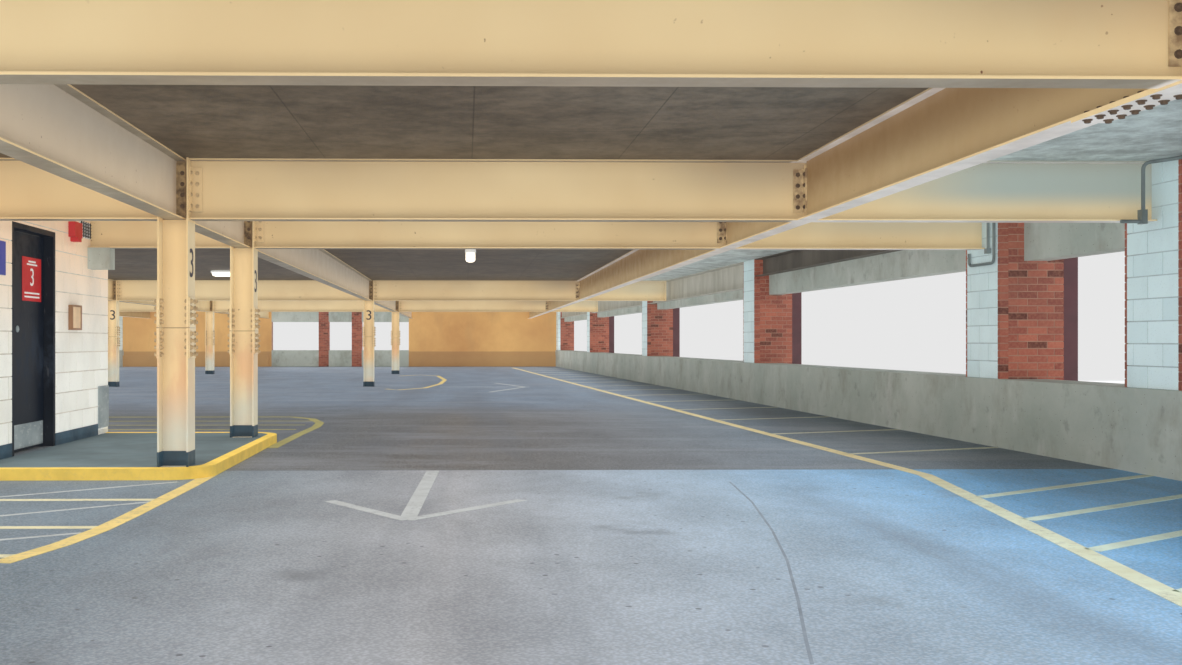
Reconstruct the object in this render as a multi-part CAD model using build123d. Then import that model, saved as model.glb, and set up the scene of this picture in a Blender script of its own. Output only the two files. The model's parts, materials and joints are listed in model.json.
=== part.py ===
"""Multi storey car park: steel frame on brick piers, three covered levels and a roof deck.

Every size is in millimetres on the 1:2 scale model, so the real building is twice as large.
Y runs along the aisles from the near end, X across them from the centre line, Z up.
The building is symmetric about X = 0, and its side walls draw together towards the far end.
"""
from build123d import *
from math import cos, pi, radians, sin, tan
import os

# Storeys
COVERED_LEVELS = 3
STOREY_HEIGHT = 1430.0
SLAB_THICKNESS = 100.0

# Plan along Y, measured from the inner face of the near end
BUILDING_LENGTH = 28275.0
GRID_Y = [4650.0, 7250.0, 8725.0, 16875.0, 22350.0]
PIER_Y = [13215.0, 18200.0, 23420.0]
END_WALL_THICKNESS = 200.0

# Plan across X
COLUMN_LINE_X = 1600.0
AISLE_GIRDER_X = 4247.5
WALL_FACE_X_NEAR = 6038.5
WALL_SKEW_DEG = 2.4

# Rolled steel
BEAM_DEPTH = 253.0
BEAM_WIDTH = 82.0
BEAM_FLANGE = 6.0
BEAM_WEB = 4.5
COLUMN_DEPTH = 127.0
COLUMN_WIDTH = 125.0
COLUMN_FLANGE = 7.0
COLUMN_WEB = 4.5
SPLICE_PLATE_LENGTH = 255.0
SPLICE_PLATE_WIDTH = 112.0
SPLICE_PLATE_THICKNESS = 5.0
SPLICE_HEIGHT = 625.0
STRAP_LENGTH = 750.0
STRAP_THICKNESS = 6.0
CLEAT_LEG = 45.0
CLEAT_THICKNESS = 5.0
CLEAT_LENGTH = 185.0
EDGE_BEAM_DEPTH_SHALLOW = 160.0
END_PLATE_WIDTH = 140.0
END_PLATE_THICKNESS = 8.0

# Outer walls, depths measured outwards from the painted block face
PIER_BLOCK_WIDTH = 340.0
PIER_BRICK_WIDTH = 380.0
PIER_BLOCK_THICKNESS = 50.0
PIER_OUTER_DEPTH = 350.0
SPANDREL_SETBACK = 135.0
SPANDREL_THICKNESS = 125.0
UPSTAND_HEIGHT = 365.0
SPANDREL_BOTTOM = 1000.0
UPSTAND_PROUD = 20.0
FIN_DEPTH = 100.0
FIN_WIDTH = 300.0
REAR_PIER_X = 370.0
REAR_PIER_WIDTH = 225.0
REAR_UPSTAND_HEIGHT = 250.0
REAR_UPSTAND_THICKNESS = 60.0

# Lobby core
LOBBY_HALF_WIDTH = 764.0
LOBBY_NEAR_Y = 4900.0
LOBBY_FAR_Y = 9032.0
LOBBY_WALL = 100.0
LOBBY_ROOF_OVERHANG = 60.0
DOORWAY_NEAR_Y = 7637.0
DOORWAY_WIDTH = 550.0
DOORWAY_HEIGHT = 1065.0
DOOR_FRAME_WIDTH = 25.0
DOOR_FRAME_SETBACK = 30.0
DOOR_CLEARANCE = 5.0
DOOR_THICKNESS = 22.0
KICK_PLATE_HEIGHT = 125.0
KICK_PLATE_MARGIN = 12.0
KICK_PLATE_THICKNESS = 1.5
HINGE_RADIUS = 4.0
HINGE_LENGTH = 40.0
HINGE_CLEARANCE = 0.5
HINGE_PLATE = 12.0
HINGE_FACETS = 8
HINGE_HEIGHTS = [160.0, 860.0]
BEARING_BLOCK_SIZE = (118.0, 95.0, 115.0)
CORNER_GUARD_LEG = 180.0
CORNER_GUARD_THICKNESS = 4.0
CORNER_GUARD_BOTTOM = 35.0
CORNER_GUARD_HEIGHT = 235.0

# Raised island in front of the lobby
ISLAND_HEIGHT = 47.0
ISLAND_EDGE_X = 1755.0
ISLAND_NEAR_Y = 7130.0
ISLAND_CORNER_RADIUS = 180.0
COLUMN_POCKET_GAP = 1.0

# Lamps
JAR_LAMP_RADIUS = 30.0
JAR_LAMP_HEIGHT = 74.0
JAR_LAMP_CAP = 25.0
JAR_LAMP_X = 2840.0
JAR_LAMP_FACETS = 10
OVAL_LAMP_SIZE = (300.0, 150.0, 60.0)
OVAL_LAMP_X = 200.0
OVAL_LAMP_BEFORE_BEAM = 1950.0
OVAL_LAMP_FACETS = 6
OVAL_LAMP_TAPER_DEG = 18.0

FLOOR_Z = [SLAB_THICKNESS + level * STOREY_HEIGHT for level in range(COVERED_LEVELS + 1)]
SOFFIT = STOREY_HEIGHT - SLAB_THICKNESS
BEAM_BOTTOM = SOFFIT - BEAM_DEPTH
LOBBY_INNER = LOBBY_HALF_WIDTH - LOBBY_WALL
SPANDREL_OUTER = SPANDREL_SETBACK + SPANDREL_THICKNESS
WALL_TOP = FLOOR_Z[-1] + UPSTAND_HEIGHT


def block(x0, x1, y0, y1, z0, z1):
    """Plain box between two corners."""
    centre = Pos((x0 + x1) / 2, (y0 + y1) / 2, (z0 + z1) / 2)
    return centre * Box(x1 - x0, y1 - y0, z1 - z0)


def prism(points, z0, z1):
    """Upright prism on a plan outline."""
    outline = make_face(Polyline(*points, close=True))
    return Pos(0, 0, z0) * extrude(outline, z1 - z0)


def wall_x(y, outwards=0.0):
    """X of the right wall at station y, a distance outwards from its block face."""
    return WALL_FACE_X_NEAR - y * tan(radians(WALL_SKEW_DEG)) + outwards / cos(radians(WALL_SKEW_DEG))


def wall_strip(y0, y1, inner, outer, z0, z1):
    """Piece of the right wall between two stations and two depths."""
    points = [(wall_x(y0, inner), y0), (wall_x(y0, outer), y0)]
    points += [(wall_x(y1, outer), y1), (wall_x(y1, inner), y1)]
    return prism(points, z0, z1)


def both_sides(pieces):
    """The pieces and their mirror images across the centre line."""
    return pieces + [mirror(piece, about=Plane.YZ) for piece in pieces]


def left_side(pieces):
    """The mirror images alone."""
    return [mirror(piece, about=Plane.YZ) for piece in pieces]


def i_section(width, depth, flange, web):
    """I section with its depth upright."""
    side = Rectangle((width - web) / 2, depth - 2 * flange)
    offset = (width + web) / 4
    return Rectangle(width, depth) - Pos(offset, 0) * side - Pos(-offset, 0) * side


BEAM_SECTION = i_section(BEAM_WIDTH, BEAM_DEPTH, BEAM_FLANGE, BEAM_WEB)


def channel_section(width, depth, flange, web):
    """Channel section with its depth upright and its back on the right."""
    hollow = Rectangle(width - web, depth - 2 * flange)
    return Rectangle(width, depth) - Pos(-web / 2, 0) * hollow


def edge_beam(y0, y1, depth, floor):
    """Edge channel that follows the right wall, its flange tips on the block face line."""
    section = Plane.XZ * channel_section(BEAM_WIDTH, depth, BEAM_FLANGE, BEAM_WEB)
    along = Vector(wall_x(y0) - wall_x(y1), y0 - y1, 0)
    start = Pos(wall_x(y1, BEAM_WIDTH / 2), y1, floor + SOFFIT - depth / 2)
    return start * extrude(section, along.length, dir=along.normalized())


def beam_across(x0, x1, y, floor):
    """Transverse beam from x0 to x1, hung under the slab above a floor."""
    middle = Pos(x0, y, floor + SOFFIT - BEAM_DEPTH / 2)
    return middle * extrude(Plane.YZ * BEAM_SECTION, x1 - x0)


def beam_along(x, y0, y1, floor):
    """Plain girder along Y."""
    middle = Pos(x, y1, floor + SOFFIT - BEAM_DEPTH / 2)
    return middle * extrude(Plane.XZ * BEAM_SECTION, y1 - y0)


def aisle_girder(y0, y1, floor):
    """Aisle girder whose flanges meet the flange tips of the transverse beams."""
    half = BEAM_WIDTH / 2
    start = y0 if y0 == 0 else y0 + half
    end = y1 if y1 == BUILDING_LENGTH else y1 - half
    return beam_along(AISLE_GIRDER_X, start, end, floor)


def spans_between(stations):
    """Neighbouring pairs of stations, from one end of the building to the other."""
    points = [0.0] + list(stations) + [BUILDING_LENGTH]
    return list(zip(points[:-1], points[1:]))


def pier_stations():
    """Side pier centres: one at each of the first three frames, then the wider bays."""
    return GRID_Y[:3] + PIER_Y


def wall_bays():
    """Clear stretches of side wall between the piers and the end blocks."""
    half = PIER_BRICK_WIDTH / 2
    starts = [PIER_BRICK_WIDTH] + [y + half for y in pier_stations()]
    ends = [y - half for y in pier_stations()] + [BUILDING_LENGTH - PIER_BRICK_WIDTH]
    return list(zip(starts, ends))


def pier_notches(inner, outer, z0, z1):
    """Cuts round the brick piers and corner piers of the right wall."""
    half = PIER_BRICK_WIDTH / 2
    past = 1.0
    cuts = [(y - half, y + half) for y in pier_stations()]
    cuts += [(-past, PIER_BRICK_WIDTH), (BUILDING_LENGTH - PIER_BRICK_WIDTH, BUILDING_LENGTH + past)]
    return [wall_strip(y0, y1, inner, outer + past, z0, z1) for y0, y1 in cuts]


def slab(level):
    """Deck that runs to the spandrels and is cut round every brick pier."""
    top = FLOOR_Z[level]
    bottom = top - SLAB_THICKNESS
    inner = SPANDREL_SETBACK
    right = [(wall_x(0, inner), 0), (wall_x(BUILDING_LENGTH, inner), BUILDING_LENGTH)]
    left = [(-x, y) for x, y in reversed(right)]
    deck = prism(right + left, bottom, top)
    for notch in pier_notches(PIER_BLOCK_THICKNESS, inner, bottom, top):
        deck -= notch
        deck -= mirror(notch, about=Plane.YZ)
    return deck


def upstands():
    """Cast concrete kerb wall along each side of every level, cut round the brick piers."""
    pieces = []
    for floor in FLOOR_Z:
        top = floor + UPSTAND_HEIGHT
        wall = wall_strip(0, BUILDING_LENGTH, -UPSTAND_PROUD, SPANDREL_SETBACK, floor, top)
        for notch in pier_notches(PIER_BLOCK_THICKNESS, SPANDREL_SETBACK, floor, top):
            wall -= notch
        pieces.append(wall)
    return both_sides(pieces)


def columns(level):
    """Frame columns of one storey, flanges facing across the building."""
    web_side = Rectangle(COLUMN_DEPTH - 2 * COLUMN_FLANGE, (COLUMN_WIDTH - COLUMN_WEB) / 2)
    offset = (COLUMN_WIDTH + COLUMN_WEB) / 4
    section = Rectangle(COLUMN_DEPTH, COLUMN_WIDTH)
    section = section - Pos(0, offset) * web_side - Pos(0, -offset) * web_side
    shaft = extrude(section, SOFFIT)
    return both_sides([Pos(COLUMN_LINE_X, y, FLOOR_Z[level]) * shaft for y in GRID_Y])


def splice_plates():
    """Bolted plates on both flanges of every column, at its mid height joint."""
    pieces = []
    for level in range(COVERED_LEVELS):
        z = FLOOR_Z[level] + SPLICE_HEIGHT
        for y in GRID_Y:
            for side in (-1, 1):
                face = COLUMN_LINE_X + side * COLUMN_DEPTH / 2
                x0, x1 = sorted((face, face + side * SPLICE_PLATE_THICKNESS))
                pieces.append(block(x0, x1, y - SPLICE_PLATE_WIDTH / 2, y + SPLICE_PLATE_WIDTH / 2,
                                    z - SPLICE_PLATE_LENGTH / 2, z + SPLICE_PLATE_LENGTH / 2))
    return both_sides(pieces)


def beside_lobby(y):
    """Whether a frame line meets the lobby core."""
    return LOBBY_NEAR_Y < y < LOBBY_FAR_Y


def transverse_beams(level):
    """Beams across the building, from wall to column and across or up to the core."""
    floor = FLOOR_Z[level]
    inner = COLUMN_LINE_X - COLUMN_DEPTH / 2
    outer = COLUMN_LINE_X + COLUMN_DEPTH / 2
    pieces = []
    for y in GRID_Y:
        plate = 0 if y in pier_stations() else END_PLATE_THICKNESS
        pieces += both_sides([beam_across(outer, wall_x(y + BEAM_WIDTH / 2, -plate), y, floor)])
        if beside_lobby(y):
            pieces += both_sides([beam_across(LOBBY_HALF_WIDTH, inner, y, floor)])
        else:
            pieces.append(beam_across(-inner, inner, y, floor))
    return pieces


def column_line_girders():
    """Girders along the two column lines, their ends between the column flanges."""
    pieces = []
    for level in range(COVERED_LEVELS):
        for y0, y1 in spans_between(GRID_Y):
            start = y0 if y0 == 0 else y0 + COLUMN_WEB / 2
            end = y1 if y1 == BUILDING_LENGTH else y1 - COLUMN_WEB / 2
            pieces.append(beam_along(COLUMN_LINE_X, start, end, FLOOR_Z[level]))
    return both_sides(pieces)


def aisle_girders():
    """Girders along the aisles, between the transverse beams."""
    pieces = []
    for level in range(COVERED_LEVELS):
        for y0, y1 in spans_between(GRID_Y):
            pieces.append(aisle_girder(y0, y1, FLOOR_Z[level]))
    return both_sides(pieces)


def girder_straps():
    """Bolted plates that carry the aisle girders on under the first transverse beam."""
    pieces = []
    y = GRID_Y[0]
    for level in range(COVERED_LEVELS):
        top = FLOOR_Z[level] + BEAM_BOTTOM
        pieces.append(block(AISLE_GIRDER_X - BEAM_WIDTH / 2, AISLE_GIRDER_X + BEAM_WIDTH / 2,
                            y - STRAP_LENGTH / 2, y + STRAP_LENGTH / 2, top - STRAP_THICKNESS, top))
    return both_sides(pieces)


def cleat(floor):
    """Web angle with its heel at the origin, one leg along +X and one along +Y."""
    leg = CLEAT_LEG
    thick = CLEAT_THICKNESS
    outline = [(0, 0), (leg, 0), (leg, thick), (thick, thick), (thick, leg), (0, leg)]
    middle = floor + SOFFIT - BEAM_DEPTH / 2
    return prism(outline, middle - CLEAT_LENGTH / 2, middle + CLEAT_LENGTH / 2)


def beam_cleats():
    """Web angles on the near side that bolt the transverse beams to the columns."""
    pieces = []
    for level in range(COVERED_LEVELS):
        angle = mirror(cleat(FLOOR_Z[level]), about=Plane.XZ)
        for y in GRID_Y:
            for side in (-1, 1):
                face = COLUMN_LINE_X + side * COLUMN_DEPTH / 2
                outwards = angle if side > 0 else mirror(angle, about=Plane.YZ)
                pieces.append(Pos(face, y - BEAM_WEB / 2, 0) * outwards)
    return both_sides(pieces)


def beam_end_plates():
    """Plates between the edge beams and the transverse beams that meet no pier."""
    pieces = []
    half = END_PLATE_WIDTH / 2
    for level in range(COVERED_LEVELS):
        floor = FLOOR_Z[level]
        for y in GRID_Y:
            if y not in pier_stations():
                pieces.append(wall_strip(y - half, y + half, -END_PLATE_THICKNESS, 0,
                                         floor + BEAM_BOTTOM, floor + SOFFIT))
    return both_sides(pieces)


def edge_beams():
    """Steel edge channels between the piers, shallow in the bay past the lobby and none beside it."""
    pieces = []
    bare = (GRID_Y[1], GRID_Y[2])
    shallow = (GRID_Y[2], PIER_Y[0])
    for level in range(COVERED_LEVELS):
        for y0, y1 in wall_bays():
            middle = (y0 + y1) / 2
            if bare[0] < middle < bare[1]:
                continue
            depth = EDGE_BEAM_DEPTH_SHALLOW if shallow[0] < middle < shallow[1] else BEAM_DEPTH
            pieces.append(edge_beam(y0, y1, depth, FLOOR_Z[level]))
    return both_sides(pieces)


def brick_piers():
    """Brick piers of the right wall, each one mass of masonry up to the roof parapet."""
    half = PIER_BRICK_WIDTH / 2
    pieces = []
    for y in pier_stations():
        pieces.append(wall_strip(y - half, y + half, PIER_BLOCK_THICKNESS, PIER_OUTER_DEPTH, 0, WALL_TOP))
    ends = [(-END_WALL_THICKNESS, PIER_BRICK_WIDTH)]
    ends.append((BUILDING_LENGTH - PIER_BRICK_WIDTH, BUILDING_LENGTH + END_WALL_THICKNESS))
    for y0, y1 in ends:
        pieces.append(wall_strip(y0, y1, PIER_BLOCK_THICKNESS, PIER_OUTER_DEPTH, 0, WALL_TOP))
    return pieces


def pier_fins():
    """Dark steel fins on the outer faces of the brick piers."""
    pieces = []
    outer = PIER_OUTER_DEPTH + FIN_DEPTH
    for y in pier_stations():
        pieces.append(wall_strip(y - FIN_WIDTH / 2, y + FIN_WIDTH / 2, PIER_OUTER_DEPTH, outer, 0, WALL_TOP))
    return both_sides(pieces)


def block_facings():
    """Painted blockwork on the inside of each brick pier, from the upstand to the soffit."""
    inset = (PIER_BRICK_WIDTH - PIER_BLOCK_WIDTH) / 2
    spots = [(y - PIER_BLOCK_WIDTH / 2, y + PIER_BLOCK_WIDTH / 2) for y in pier_stations()]
    spots.append((0.0, PIER_BRICK_WIDTH - inset))
    spots.append((BUILDING_LENGTH - PIER_BRICK_WIDTH + inset, BUILDING_LENGTH))
    pieces = []
    for level in range(COVERED_LEVELS):
        floor = FLOOR_Z[level]
        for y0, y1 in spots:
            pieces.append(wall_strip(y0, y1, 0, PIER_BLOCK_THICKNESS, floor + UPSTAND_HEIGHT, floor + SOFFIT))
    return both_sides(pieces)


def spandrel_panels():
    """Concrete panels that close the wall from one opening's head to the next one's sill."""
    pieces = []
    for level in range(1, COVERED_LEVELS + 1):
        bottom = FLOOR_Z[level - 1] + SPANDREL_BOTTOM
        top = FLOOR_Z[level] + UPSTAND_HEIGHT
        for y0, y1 in wall_bays():
            pieces.append(wall_strip(y0, y1, SPANDREL_SETBACK, SPANDREL_OUTER, bottom, top))
    return pieces


def base_walls():
    """Concrete walls under the ground level openings."""
    top = FLOOR_Z[0] + UPSTAND_HEIGHT
    strips = [wall_strip(y0, y1, SPANDREL_SETBACK, SPANDREL_OUTER, 0, top) for y0, y1 in wall_bays()]
    return both_sides(strips)


def front_pier_lines():
    """Centres of the inner brick piers of the near end."""
    return [-AISLE_GIRDER_X, -COLUMN_LINE_X, COLUMN_LINE_X, AISLE_GIRDER_X]


def front_bays():
    """Clear stretches of the near end between its piers and the corner piers."""
    half = PIER_BRICK_WIDTH / 2
    corner = wall_x(0, PIER_BLOCK_THICKNESS)
    starts = [-corner] + [x + half for x in front_pier_lines()]
    ends = [x - half for x in front_pier_lines()] + [corner]
    return list(zip(starts, ends))


def front_piers():
    """Inner brick piers of the near end."""
    half = PIER_BRICK_WIDTH / 2
    return [block(x - half, x + half, -END_WALL_THICKNESS, 0, 0, WALL_TOP) for x in front_pier_lines()]


def front_panels():
    """Concrete panels of the near end above ground level."""
    pieces = []
    for level in range(1, COVERED_LEVELS + 1):
        bottom = FLOOR_Z[level - 1] + SPANDREL_BOTTOM
        for x0, x1 in front_bays():
            pieces.append(block(x0, x1, -SPANDREL_THICKNESS, 0, bottom, FLOOR_Z[level] + UPSTAND_HEIGHT))
    return pieces


def front_base_walls():
    """Low walls of the near end, left open in the two aisle bays where vehicles come in."""
    pieces = []
    for index, (x0, x1) in enumerate(front_bays()):
        if index in (1, 3):
            continue
        pieces.append(block(x0, x1, -SPANDREL_THICKNESS, 0, 0, FLOOR_Z[0] + UPSTAND_HEIGHT))
    return pieces


def rear_walls():
    """Solid walls that close the two aisles at the far end, from ground to parapet."""
    y0 = BUILDING_LENGTH
    y1 = BUILDING_LENGTH + END_WALL_THICKNESS
    x0 = COLUMN_LINE_X - COLUMN_DEPTH / 2
    points = [(x0, y0), (wall_x(y0, PIER_BLOCK_THICKNESS), y0)]
    points += [(wall_x(y1, PIER_BLOCK_THICKNESS), y1), (x0, y1)]
    return both_sides([prism(points, 0, WALL_TOP)])


def rear_upstands():
    """Low kerb walls at the foot of the solid end walls."""
    pieces = []
    y1 = BUILDING_LENGTH
    y0 = y1 - REAR_UPSTAND_THICKNESS
    for level in range(COVERED_LEVELS):
        floor = FLOOR_Z[level]
        reach = -UPSTAND_PROUD
        points = [(COLUMN_LINE_X, y0), (wall_x(y0, reach), y0), (wall_x(y1, reach), y1), (COLUMN_LINE_X, y1)]
        pieces.append(prism(points, floor, floor + REAR_UPSTAND_HEIGHT))
    return both_sides(pieces)


def rear_piers():
    """Brick piers of the open middle bay of the far end."""
    y0 = BUILDING_LENGTH
    half = REAR_PIER_WIDTH / 2
    pier = block(REAR_PIER_X - half, REAR_PIER_X + half, y0, y0 + END_WALL_THICKNESS, 0, WALL_TOP)
    return both_sides([pier])


def rear_panels():
    """Concrete panels and ground level base walls between the rear piers."""
    edge = COLUMN_LINE_X - COLUMN_DEPTH / 2
    half = REAR_PIER_WIDTH / 2
    bays = [(-edge, -REAR_PIER_X - half), (-REAR_PIER_X + half, REAR_PIER_X - half), (REAR_PIER_X + half, edge)]
    y0 = BUILDING_LENGTH
    y1 = y0 + SPANDREL_THICKNESS
    pieces = []
    for x0, x1 in bays:
        pieces.append(block(x0, x1, y0, y1, 0, FLOOR_Z[0] + UPSTAND_HEIGHT))
        for level in range(1, COVERED_LEVELS + 1):
            bottom = FLOOR_Z[level - 1] + SPANDREL_BOTTOM
            pieces.append(block(x0, x1, y0, y1, bottom, FLOOR_Z[level] + UPSTAND_HEIGHT))
    return pieces


def lobby_walls(level):
    """Block walls of the lobby core on one storey, split beside and over the doorway."""
    z0 = FLOOR_Z[level]
    z1 = z0 + SOFFIT
    half = LOBBY_HALF_WIDTH
    inner = LOBBY_INNER
    near = LOBBY_NEAR_Y
    far = LOBBY_FAR_Y
    door_near = DOORWAY_NEAR_Y
    door_far = DOORWAY_NEAR_Y + DOORWAY_WIDTH
    head = z0 + ISLAND_HEIGHT + DOORWAY_HEIGHT
    pieces = [block(-half, -inner, near, far, z0, z1)]
    pieces.append(block(-inner, inner, near, near + LOBBY_WALL, z0, z1))
    pieces.append(block(-inner, inner, far - LOBBY_WALL, far, z0, z1))
    pieces.append(block(inner, half, near, door_near, z0, z1))
    pieces.append(block(inner, half, door_far, far, z0, z1))
    pieces.append(block(inner, half, door_near, door_far, head, z1))
    return pieces


def lobby_roof():
    """Flat roof slab of the core."""
    out = LOBBY_ROOF_OVERHANG
    z = FLOOR_Z[-1] + SOFFIT
    return block(-LOBBY_HALF_WIDTH - out, LOBBY_HALF_WIDTH + out,
                 LOBBY_NEAR_Y - out, LOBBY_FAR_Y + out, z, z + SLAB_THICKNESS)


def lobby_floors():
    """Raised floor inside the core, carried out through the doorway."""
    pieces = []
    for floor in FLOOR_Z:
        z1 = floor + ISLAND_HEIGHT
        room = block(-LOBBY_INNER, LOBBY_INNER, LOBBY_NEAR_Y + LOBBY_WALL, LOBBY_FAR_Y - LOBBY_WALL, floor, z1)
        sill = block(LOBBY_INNER, LOBBY_HALF_WIDTH, DOORWAY_NEAR_Y, DOORWAY_NEAR_Y + DOORWAY_WIDTH, floor, z1)
        pieces.append(room + sill)
    return pieces


def kerb_islands():
    """Raised island with rounded outer corners, cut round the columns that stand in it."""
    x0 = LOBBY_HALF_WIDTH
    width = ISLAND_EDGE_X - x0
    length = LOBBY_FAR_Y - ISLAND_NEAR_Y
    plate = Pos(x0 + width / 2, ISLAND_NEAR_Y + length / 2) * Rectangle(width, length)
    outer = plate.vertices().group_by(Axis.X)[-1]
    plate = fillet(outer, ISLAND_CORNER_RADIUS)
    pocket = Rectangle(COLUMN_DEPTH + 2 * COLUMN_POCKET_GAP, COLUMN_WIDTH + 2 * COLUMN_POCKET_GAP)
    pierced = plate
    for y in GRID_Y:
        if ISLAND_NEAR_Y < y < LOBBY_FAR_Y:
            pierced -= Pos(COLUMN_LINE_X, y) * pocket
    pieces = [Pos(0, 0, floor) * extrude(pierced, ISLAND_HEIGHT) for floor in FLOOR_Z[:-1]]
    pieces.append(Pos(0, 0, FLOOR_Z[-1]) * extrude(plate, ISLAND_HEIGHT))
    return pieces


FRAME_INNER = LOBBY_INNER + DOOR_FRAME_SETBACK
HINGE_X = FRAME_INNER - HINGE_RADIUS - HINGE_CLEARANCE
LEAF_NEAR_Y = DOORWAY_NEAR_Y + DOOR_FRAME_WIDTH + DOOR_CLEARANCE
LEAF_FAR_Y = DOORWAY_NEAR_Y + DOORWAY_WIDTH - DOOR_FRAME_WIDTH - DOOR_CLEARANCE
HINGE_Y = LEAF_FAR_Y + DOOR_CLEARANCE / 2


def hinge_barrel(z0, z1):
    """Half of a hinge barrel on the hinge axis."""
    return Pos(HINGE_X, HINGE_Y, z0) * extrude(RegularPolygon(HINGE_RADIUS, HINGE_FACETS), z1 - z0)


def door_frame(floor):
    """Two jambs and a head in the outer part of the doorway, with the fixed halves of the hinges."""
    z0 = floor + ISLAND_HEIGHT
    z1 = z0 + DOORWAY_HEIGHT
    y0 = DOORWAY_NEAR_Y
    y1 = DOORWAY_NEAR_Y + DOORWAY_WIDTH
    near_jamb = block(FRAME_INNER, LOBBY_HALF_WIDTH, y0, y0 + DOOR_FRAME_WIDTH, z0, z1)
    far_jamb = block(FRAME_INNER, LOBBY_HALF_WIDTH, y1 - DOOR_FRAME_WIDTH, y1, z0, z1)
    head = block(FRAME_INNER, LOBBY_HALF_WIDTH, y0 + DOOR_FRAME_WIDTH, y1 - DOOR_FRAME_WIDTH,
                 z1 - DOOR_FRAME_WIDTH, z1)
    for height in HINGE_HEIGHTS:
        low = z0 + height
        high = low + HINGE_LENGTH / 2 - HINGE_CLEARANCE / 2
        far_jamb += hinge_barrel(low, high)
        far_jamb += block(HINGE_X, FRAME_INNER + HINGE_CLEARANCE, HINGE_Y, HINGE_Y + HINGE_PLATE, low, high)
    return [near_jamb, far_jamb, head]


def door_leaf(floor):
    """Flush leaf, closed, with the moving halves of the hinges on its inner face."""
    z0 = floor + ISLAND_HEIGHT
    top = z0 + DOORWAY_HEIGHT - DOOR_FRAME_WIDTH - DOOR_CLEARANCE
    leaf = block(FRAME_INNER, FRAME_INNER + DOOR_THICKNESS, LEAF_NEAR_Y, LEAF_FAR_Y, z0 + DOOR_CLEARANCE, top)
    for height in HINGE_HEIGHTS:
        high = z0 + height + HINGE_LENGTH
        low = z0 + height + HINGE_LENGTH / 2 + HINGE_CLEARANCE / 2
        leaf += hinge_barrel(low, high)
        leaf += block(HINGE_X, FRAME_INNER, HINGE_Y - HINGE_PLATE, HINGE_Y, low, high)
    return leaf


def kick_plate(floor):
    """Steel plate on the foot of the leaf."""
    z0 = floor + ISLAND_HEIGHT + DOOR_CLEARANCE
    x0 = FRAME_INNER + DOOR_THICKNESS
    return block(x0, x0 + KICK_PLATE_THICKNESS, LEAF_NEAR_Y + KICK_PLATE_MARGIN, LEAF_FAR_Y - KICK_PLATE_MARGIN,
                 z0 + KICK_PLATE_MARGIN, z0 + KICK_PLATE_HEIGHT)


def bearing_blocks():
    """Blocks on the core walls under the ends of the transverse beams."""
    depth, width, height = BEARING_BLOCK_SIZE
    pieces = []
    for level in range(COVERED_LEVELS):
        top = FLOOR_Z[level] + BEAM_BOTTOM
        for y in filter(beside_lobby, GRID_Y[2:]):
            pieces.append(block(LOBBY_HALF_WIDTH, LOBBY_HALF_WIDTH + depth, y - width / 2, y + width / 2,
                                top - height, top))
    return both_sides(pieces)


def corner_guards():
    """Steel angles low down on the far corners of the core."""
    leg = CORNER_GUARD_LEG
    thick = CORNER_GUARD_THICKNESS
    x = LOBBY_HALF_WIDTH
    y = LOBBY_FAR_Y
    outline = [(x + thick, y + thick), (x - leg, y + thick), (x - leg, y),
               (x, y), (x, y - leg), (x + thick, y - leg)]
    pieces = []
    for level in range(COVERED_LEVELS):
        z0 = FLOOR_Z[level] + ISLAND_HEIGHT + CORNER_GUARD_BOTTOM
        pieces.append(prism(outline, z0, z0 + CORNER_GUARD_HEIGHT))
    return both_sides(pieces)


def jar_lamps():
    """Glass jar lamps with a round cap, hung under the third transverse beam of each aisle."""
    cap = extrude(RegularPolygon(JAR_LAMP_RADIUS, JAR_LAMP_FACETS), -JAR_LAMP_CAP)
    glass = extrude(RegularPolygon(JAR_LAMP_RADIUS * 0.85, JAR_LAMP_FACETS), -JAR_LAMP_HEIGHT)
    lamp = cap + glass
    pieces = [Pos(JAR_LAMP_X, GRID_Y[2], FLOOR_Z[level] + BEAM_BOTTOM) * lamp for level in range(COVERED_LEVELS)]
    return both_sides(pieces)


def oval_lamps():
    """Oval bulkhead lamps on the soffit of the middle bay, one before each of the last two beams."""
    length, width, height = OVAL_LAMP_SIZE
    round_end = [(length / 2 - width / 2 + width / 2 * cos(pi * step / OVAL_LAMP_FACETS - pi / 2),
                  width / 2 * sin(pi * step / OVAL_LAMP_FACETS - pi / 2))
                 for step in range(OVAL_LAMP_FACETS + 1)]
    outline = round_end + [(-x, -y) for x, y in round_end]
    body = extrude(make_face(Polyline(*outline, close=True)), -height, taper=OVAL_LAMP_TAPER_DEG)
    pieces = []
    for level in range(COVERED_LEVELS):
        soffit = FLOOR_Z[level] + SOFFIT
        for y in GRID_Y[3:]:
            pieces.append(Pos(OVAL_LAMP_X, y - OVAL_LAMP_BEFORE_BEAM, soffit) * body)
    return pieces


def save(name, pieces):
    """Write one node, set about the middle of the building's length."""
    os.makedirs("parts", exist_ok=True)
    shift = Pos(0, -BUILDING_LENGTH / 2, 0)
    solids = [shift * solid for piece in pieces for solid in piece.solids()]
    shape = solids[0] if len(solids) == 1 else Compound(children=solids)
    export_step(shape, f"parts/{name}.step")


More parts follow.
